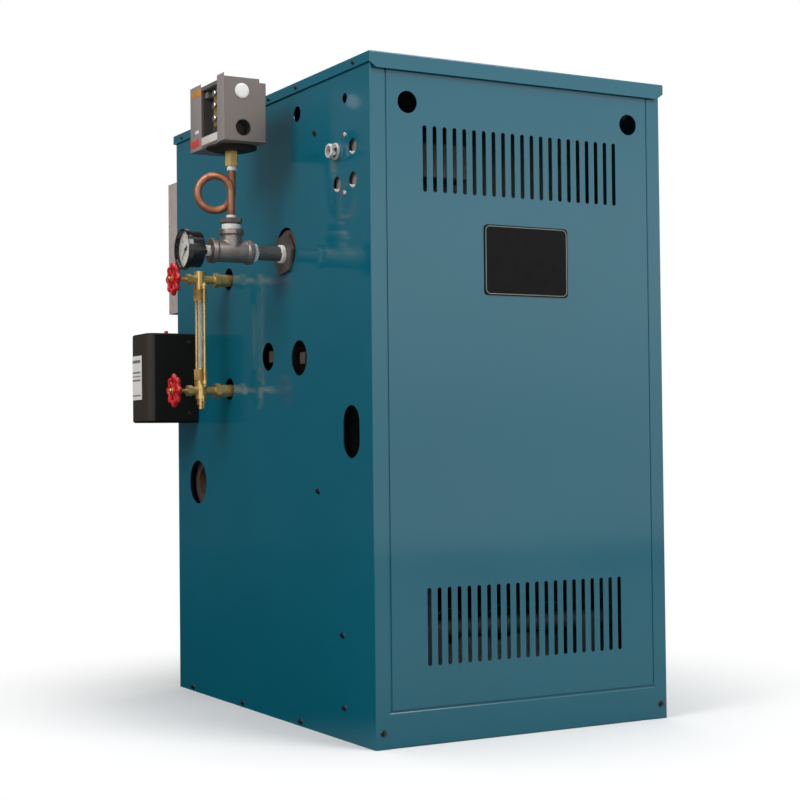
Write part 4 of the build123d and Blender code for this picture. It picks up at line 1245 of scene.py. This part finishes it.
# Piece, finish, depth behind the case's outer face, from the front, height, width, tallness
CONTROL_LABELS = (
    ("control_near_strip", "control_light", 0.0, 251.5, 967.5, 28.0, 104.0),
    ("control_far_strip", "control_light", WINDOW_SUNK, 358.0, 967.5, 45.0, 104.0),
    ("control_label_top", "label_orange", ON_STRIP, 355.0, 1007.0, 38.0, 10.5),
    ("control_label_foot", "label_red", ON_STRIP, 362.0, 927.5, 36.0, 12.5),
    ("control_label_strip", "label_cream", WINDOW_SUNK, 301.0, 926.5, 67.0, 12.0),
    ("control_label_small", "label_paper", ON_STRIP, 353.0, 945.0, 14.0, 5.0),
)


def add_control_labels():
    """Seal, dark cup that paints the shade inside the knockout, pale strips and bare labels on the control.
    """
    seal = turned(CONTROL_SEAL, CONTROL_ROUND_SIDES)
    seal_place = beside(CONTROL_LOW.y, *CONTROL_SEAL_SPOT)
    add_piece("control_seal", laid(seal, "front", seal_place), "label_paper")
    # dark cup inside the knockout: painted shade
    shade_cup = turned(CONTROL_SHADE_CUP, CONTROL_ROUND_SIDES)
    shade_cup_place = beside(CONTROL_LOW.y, *CONTROL_SHADE_CUP_SPOT)
    add_piece("control_knockout_shade_cup", laid(shade_cup, "front", shade_cup_place), "control_dark")
    out = (LEFT - CONTROL_LOW.x) / MM
    for name, finish, sunk, from_front, height, width, tall in CONTROL_LABELS:
        label = plate(width, tall, LABEL_CORNER, *LABEL_LEVELS, LABEL_EDGE)
        add_piece(name, laid(label, "left", side(out - sunk, from_front, height)), finish)


# Low water cut-off, in mm
CUTOFF_CORNER = 16.0
CORNER_STEPS = 8
# Lighter skin over the outer face and round its corners, painted light:
LIT_SKIN_MARGIN = 3.0
LIT_SKIN_THICKNESS = 0.15
LIT_SKIN_NEAR_TURN = radians(78.0)
LIT_SKIN_FAR_TURN = radians(80.0)
CUTOFF_LABEL_START = 686.0
CUTOFF_LABEL_HEIGHTS = (525.0, 604.0)
CUTOFF_LABEL_TURN = radians(60.0)
CUTOFF_LABEL_PROUD = 0.12
CUTOFF_LABEL_THICKNESS = 0.3
BAR_START = 692.0
BAR_PROUD = 0.35
BAR_THICKNESS = 0.15
# Plain bars on the label: turn round the corner in degrees, lower and upper edge
CUTOFF_BARS = (
    (45.0, 591.0, 596.5),
    (25.0, 572.5, 575.5),
    (10.0, 566.0, 568.0),
    (35.0, 558.5, 561.5),
    (15.0, 531.5, 534.0),
)
CUTOFF_BUTTON = ((3.4, -0.2), (3.4, 3.0), (2.6, 4.2))
CUTOFF_BUTTON_SPOT = (58, 664)
CUTOFF_SCREWS = ((18, 500), (18, 627))


def round_corner(middle, turn):
    """Spots round a corner of the cut-off, with the direction away from it, past its first one."""
    spots = []
    for step in range(1, CORNER_STEPS + 1):
        angle = turn * step / CORNER_STEPS
        away = Vector((cos(angle), sin(angle)))
        spots.append((middle + away * CUTOFF_CORNER, away))
    return spots


def cutoff_strip(start, far_turn, low, high, proud, thickness, near_turn=None):
    """Thin strip on the cut-off's outer face that runs on round its far corner, or round both."""
    out = (LEFT - CUTOFF_LOW.x) / MM
    bend = Vector((out - CUTOFF_CORNER, (CUTOFF_HIGH.y - FRONT) / MM - CUTOFF_CORNER))
    straight_out = Vector((1, 0))
    path = [(Vector((out, start)), straight_out), (Vector((out, bend.y)), straight_out)]
    path += round_corner(bend, far_turn)
    if near_turn is not None:
        path = round_corner(Vector((bend.x, start)), -near_turn)[::-1] + path
    loops = []
    for spot, away in path:
        inner, outer = spot + away * proud, spot + away * (proud + thickness)
        loops.append([side(*inner, low), side(*outer, low), side(*outer, high), side(*inner, high)])
    strip = lofted(loops)
    outside_out(strip)
    return as_mesh(strip)


def add_cutoff_details():
    """Lighter skin of painted light over the outer face, bare label with plain bars, test button and cover
    screws of the cut-off.
    """
    foot, top = CUTOFF_LOW.z / MM, CUTOFF_HIGH.z / MM
    # Painted light: a lighter skin over the outer face and round both corners
    cover = cutoff_strip(
        (CUTOFF_LOW.y - FRONT) / MM + CUTOFF_CORNER, LIT_SKIN_FAR_TURN, foot + LIT_SKIN_MARGIN,
        top - LIT_SKIN_MARGIN, 0.0, LIT_SKIN_THICKNESS, LIT_SKIN_NEAR_TURN,
    )
    add_piece("cutoff_painted_light_skin", cover, "cutoff_painted_light_skin")
    label = cutoff_strip(
        CUTOFF_LABEL_START, CUTOFF_LABEL_TURN, *CUTOFF_LABEL_HEIGHTS, CUTOFF_LABEL_PROUD,
        CUTOFF_LABEL_THICKNESS,
    )
    add_piece("cutoff_label", label, "label_paper")
    bars = [
        cutoff_strip(BAR_START, radians(turn), low, high, BAR_PROUD, BAR_THICKNESS)
        for turn, low, high in CUTOFF_BARS
    ]
    add_piece("cutoff_label_bars", gathered(bars), "print_grey")
    button = laid(turned(CUTOFF_BUTTON, 28), "top", side(*CUTOFF_BUTTON_SPOT, top))
    add_piece("cutoff_button", button, "wheel_red")
    spots = [(beside(CUTOFF_LOW.y, *spot), "front") for spot in CUTOFF_SCREWS]
    add_heads("cutoff_screws", "cutoff", "screw_dark", spots)


# Front, in mm
DOOR_LINING_DEPTHS = (-3.2, -2.0)
DOOR_LINING_OVERLAP = 0.2
PLATE_RIM_INSET = 3.4
PLATE_RIM_CORNER = 8.0
PLATE_RIM_BAND = 1.1
PLATE_RIM_LEVELS = (-0.3, 0.4)


def add_door_lining():
    """Painted lining at the bottom of the gap round the door."""
    door_low, door_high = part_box("front_door")
    strip_top = STRIP_TOP / MM
    edge, foot, top = door_high.x / MM, door_low.z / MM, door_high.z / MM
    gap = foot - strip_top
    inner, outer = edge - DOOR_LINING_OVERLAP, edge + gap + DOOR_LINING_OVERLAP
    upright = (strip_top, top)
    level = (strip_top - DOOR_LINING_OVERLAP, foot + DOOR_LINING_OVERLAP)
    bars = [
        block((-outer, -inner), upright, DOOR_LINING_DEPTHS),
        block((inner, outer), upright, DOOR_LINING_DEPTHS),
        block((-inner, inner), level, DOOR_LINING_DEPTHS),
    ]
    place = Vector((0.0, FRONT, 0.0))
    lining = gathered([laid(bar, "front", place) for bar in bars])
    add_piece("door_gap_lining", lining, "jacket_paint")


def add_plate_rim():
    """Pale raised rim of the bare name plate."""
    low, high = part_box("name_plate")
    place = Vector(((low.x + high.x) / 2, low.y, (low.z + high.z) / 2))
    width, height = (high.x - low.x) / MM, (high.z - low.z) / MM
    rim = border(
        width - PLATE_RIM_INSET, height - PLATE_RIM_INSET, PLATE_RIM_CORNER, PLATE_RIM_BAND,
        *PLATE_RIM_LEVELS,
    )
    add_piece("name_plate_rim", laid(rim, "front", place), "plate_rim")


# Rear, in mm; places of the hood's screws are shares of their reach from its middle
HOOD_FLANGE_GROWTH = 40.0
HOOD_FLANGE_CORNER = 22.0
HOOD_FLANGE_BAND = 21.0
HOOD_FLANGE_THICKNESS = 1.2
HOOD_SCREW_REACH = 10.0
HOOD_SCREWS_ACROSS = (-0.9, -0.45, 0.0, 0.45, 0.9)
HOOD_SCREWS_UP = (-0.55, 0.0, 0.55)
BEAD_RADIUS = 2.2
BEAD_PROUD = 0.4
BEAD_SIDES = 12
BEAD_BELOW_TOP = 18.0


def add_hood_flange():
    """Flange and screws that hold the draft hood to the rear sheet."""
    low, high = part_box("draft_hood")
    width, height = (high.x - low.x) / MM, (high.z - low.z) / MM
    middle = Vector(((low.x + high.x) / 2, REAR, (low.z + high.z) / 2))
    flange = border(
        width + HOOD_FLANGE_GROWTH, height + HOOD_FLANGE_GROWTH, HOOD_FLANGE_CORNER, HOOD_FLANGE_BAND,
        0.0, HOOD_FLANGE_THICKNESS,
    )
    add_piece("hood_flange", laid(flange, "rear", middle), "galvanised_sheet")
    reach_x, reach_z = width / 2 + HOOD_SCREW_REACH, height / 2 + HOOD_SCREW_REACH
    spots = []
    for share in HOOD_SCREWS_ACROSS:
        spots += [(share * reach_x, -reach_z), (share * reach_x, reach_z)]
    for share in HOOD_SCREWS_UP:
        spots += [(-reach_x, share * reach_z), (reach_x, share * reach_z)]
    on_flange = HOOD_FLANGE_THICKNESS * MM
    points = [(middle + Vector((x * MM, on_flange, z * MM)), "rear") for x, z in spots]
    add_heads("hood_screws", "sheet", "zinc", points)


def add_collar_bead():
    """Rolled bead round the flue collar."""
    low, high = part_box("flue_collar")
    middle = middle_of("flue_collar")
    radius = (high.x - low.x) / 2 / MM + BEAD_PROUD
    section = [(radius + BEAD_RADIUS * cos(turn), BEAD_RADIUS * sin(turn)) for turn in turns(BEAD_SIDES)]
    place = Vector((middle.x, middle.y, high.z - BEAD_BELOW_TOP * MM))
    add_piece("collar_bead", laid(hoop(section, 96), "top", place), "galvanised_sheet")


# Stage and light; the first number of each pair of strengths holds at the start of its range
WORLD_LIGHT = 0.42
DARK_SIDE = (-0.62, 0.78, 0.0)
DARK_SIDE_RANGE = (0.35, 0.85)
DARK_REFLECTION = (0.05, 0.14)
DARK_HEIGHTS = (0.0, 0.16)
FRONT_REFLECTION = (1.0, 1.34)
FRONT_HEIGHTS = (0.0, 0.1)
TOP_REFLECTION = (1.0, 0.78)
TOP_HEIGHTS = (0.13, 0.21)
FLOOR_HALF = 4.0
FLOOR_TONES = ((0.92, 0.92, 0.92), (0.95, 0.95, 0.95))
FLOOR_FADE = (0.42, 0.95)
# For bounced light and reflections the floor has other tones: a dimmer grey, and painted reflection
# darkness towards the left rear
FLOOR_BOUNCE = (0.32, 0.32, 0.32)
FLOOR_REFLECTION = (0.55, 0.55, 0.55)
FLOOR_DARK = (0.012, 0.05)
FLOOR_DARK_REACH = (1.0, FLOOR_HALF)
FLOOR_DARK_RANGE = (-0.3, 0.2)
LAMP_TARGET = Vector((0, 0, 0.6))
# Soft lamps: name, place and width in metres, power in watts
LAMPS = (
    ("front_softbox", (1.3, -3.0, 3.2), 1.8, 78.0),
    ("left_softbox", (-2.9, -0.9, 2.5), 1.6, 46.0),
    ("top_softbox", (0.0, 0.2, 3.1), 1.6, 36.0),
)


def seen_straight(tree, path):
    """Share of rays that come straight from the viewer, also through glass."""
    straight = calculate(tree, "LESS_THAN", path["Glossy Depth"], 0.5)
    through = calculate(tree, "MULTIPLY", path["Is Transmission Ray"], straight)
    return calculate(tree, "MAXIMUM", path["Is Camera Ray"], through)


def backdrop(tree, strength):
    """White Background shader of a strength; gives its output."""
    return new_node(tree, "ShaderNodeBackground", Color=WHITE, Strength=strength).outputs[0]


def scene_world():
    """White to the camera, even for light, and dim towards the left rear for reflections."""
    world = bpy.data.worlds.new("studio")
    world.use_nodes = True
    tree = world.node_tree
    tree.nodes.clear()
    path = tree.nodes.new("ShaderNodeLightPath").outputs
    direction = tree.nodes.new("ShaderNodeTexCoord").outputs["Generated"]
    height = reach_along(tree, direction, (0.0, 0.0, 1.0))
    front = rescale(tree, height, *FRONT_HEIGHTS, *FRONT_REFLECTION)
    top = rescale(tree, height, *TOP_HEIGHTS, *TOP_REFLECTION)
    bright = calculate(tree, "MULTIPLY", front, top)
    dim = rescale(tree, height, *DARK_HEIGHTS, *DARK_REFLECTION)
    to_dark = reach_along(tree, direction, DARK_SIDE)
    mirrored = rescale(tree, to_dark, *DARK_SIDE_RANGE, bright, dim)
    unseen = mix_shaders(
        tree, path["Is Glossy Ray"], backdrop(tree, WORLD_LIGHT), backdrop(tree, mirrored)
    )
    whole = mix_shaders(tree, seen_straight(tree, path), unseen, backdrop(tree, 1.0))
    new_node(tree, "ShaderNodeOutputWorld", Surface=whole)
    scene.world = world


def add_lamps():
    """Square soft lamps aimed at the boiler."""
    for name, spot, width, power in LAMPS:
        data = bpy.data.lights.new(name, "AREA")
        data.size = width
        data.energy = power
        place = Vector(spot)
        aim = (LAMP_TARGET - place).to_track_quat("-Z", "Y")
        lamp = put_in_scene(name, data)
        lamp.matrix_world = Matrix.Translation(place) @ aim.to_matrix().to_4x4()


def floor_finish():
    """Pale floor that keeps the shadow near the boiler and fades to white for the camera; seen in
    reflections it is painted dark towards the left rear, a painted reflection of a dim side, and it bounces
    light as a dimmer grey.
    """
    tree, shader = new_finish("studio_floor", Roughness=0.9, Specular_IOR_Level=0.0)
    path = tree.nodes.new("ShaderNodeLightPath").outputs
    seen = seen_straight(tree, path)
    place = object_place(tree)
    reach = on_vectors(tree, "LENGTH", place)["Value"]
    first, second = FLOOR_TONES
    tone = blend_colours(tree, noise(tree, scale=2.0), rgb(*first), rgb(*second))
    dim = rescale(tree, reach, *FLOOR_DARK_REACH, *FLOOR_DARK)
    to_dark = rescale(tree, reach_along(tree, place, DARK_SIDE), *FLOOR_DARK_RANGE)
    mirrored = blend_colours(tree, to_dark, rgb(*FLOOR_REFLECTION), dim)
    unseen = blend_colours(tree, path["Is Glossy Ray"], rgb(*FLOOR_BOUNCE), mirrored)
    put(tree, shader.inputs["Base Color"], blend_colours(tree, seen, unseen, tone))
    fade = calculate(tree, "MULTIPLY", rescale(tree, reach, *FLOOR_FADE), seen)
    glow = new_node(tree, "ShaderNodeEmission", Color=WHITE, Strength=1.0).outputs[0]
    faded = mix_shaders(tree, fade, shader.outputs[0], glow)
    put(tree, tree.nodes["Material Output"].inputs["Surface"], faded)


def add_floor():
    """Plain pale floor under the boiler."""
    corners = [(FLOOR_HALF * x, FLOOR_HALF * y, 0.0) for x, y in ((-1, -1), (1, -1), (1, 1), (-1, 1))]
    mesh = bpy.data.meshes.new("floor")
    mesh.from_pydata(corners, [], [(0, 1, 2, 3)])
    floor_finish()
    mesh.materials.append(FINISHES["studio_floor"])
    put_in_scene("floor", mesh)


scene.view_settings.view_transform = "Standard"
add_camera()
scene_world()
add_lamps()
add_floor()
dress_nodes()
add_screws()
add_connector()
add_knockout_lips()
add_thread_tape()
add_cast_tee()
add_gauge_face()
add_handwheels()
add_gauge_tube()
add_rod_nuts()
add_drain_lever()
add_control_works()
add_control_labels()
add_cutoff_details()
add_door_lining()
add_plate_rim()
add_hood_flange()
add_collar_bead()
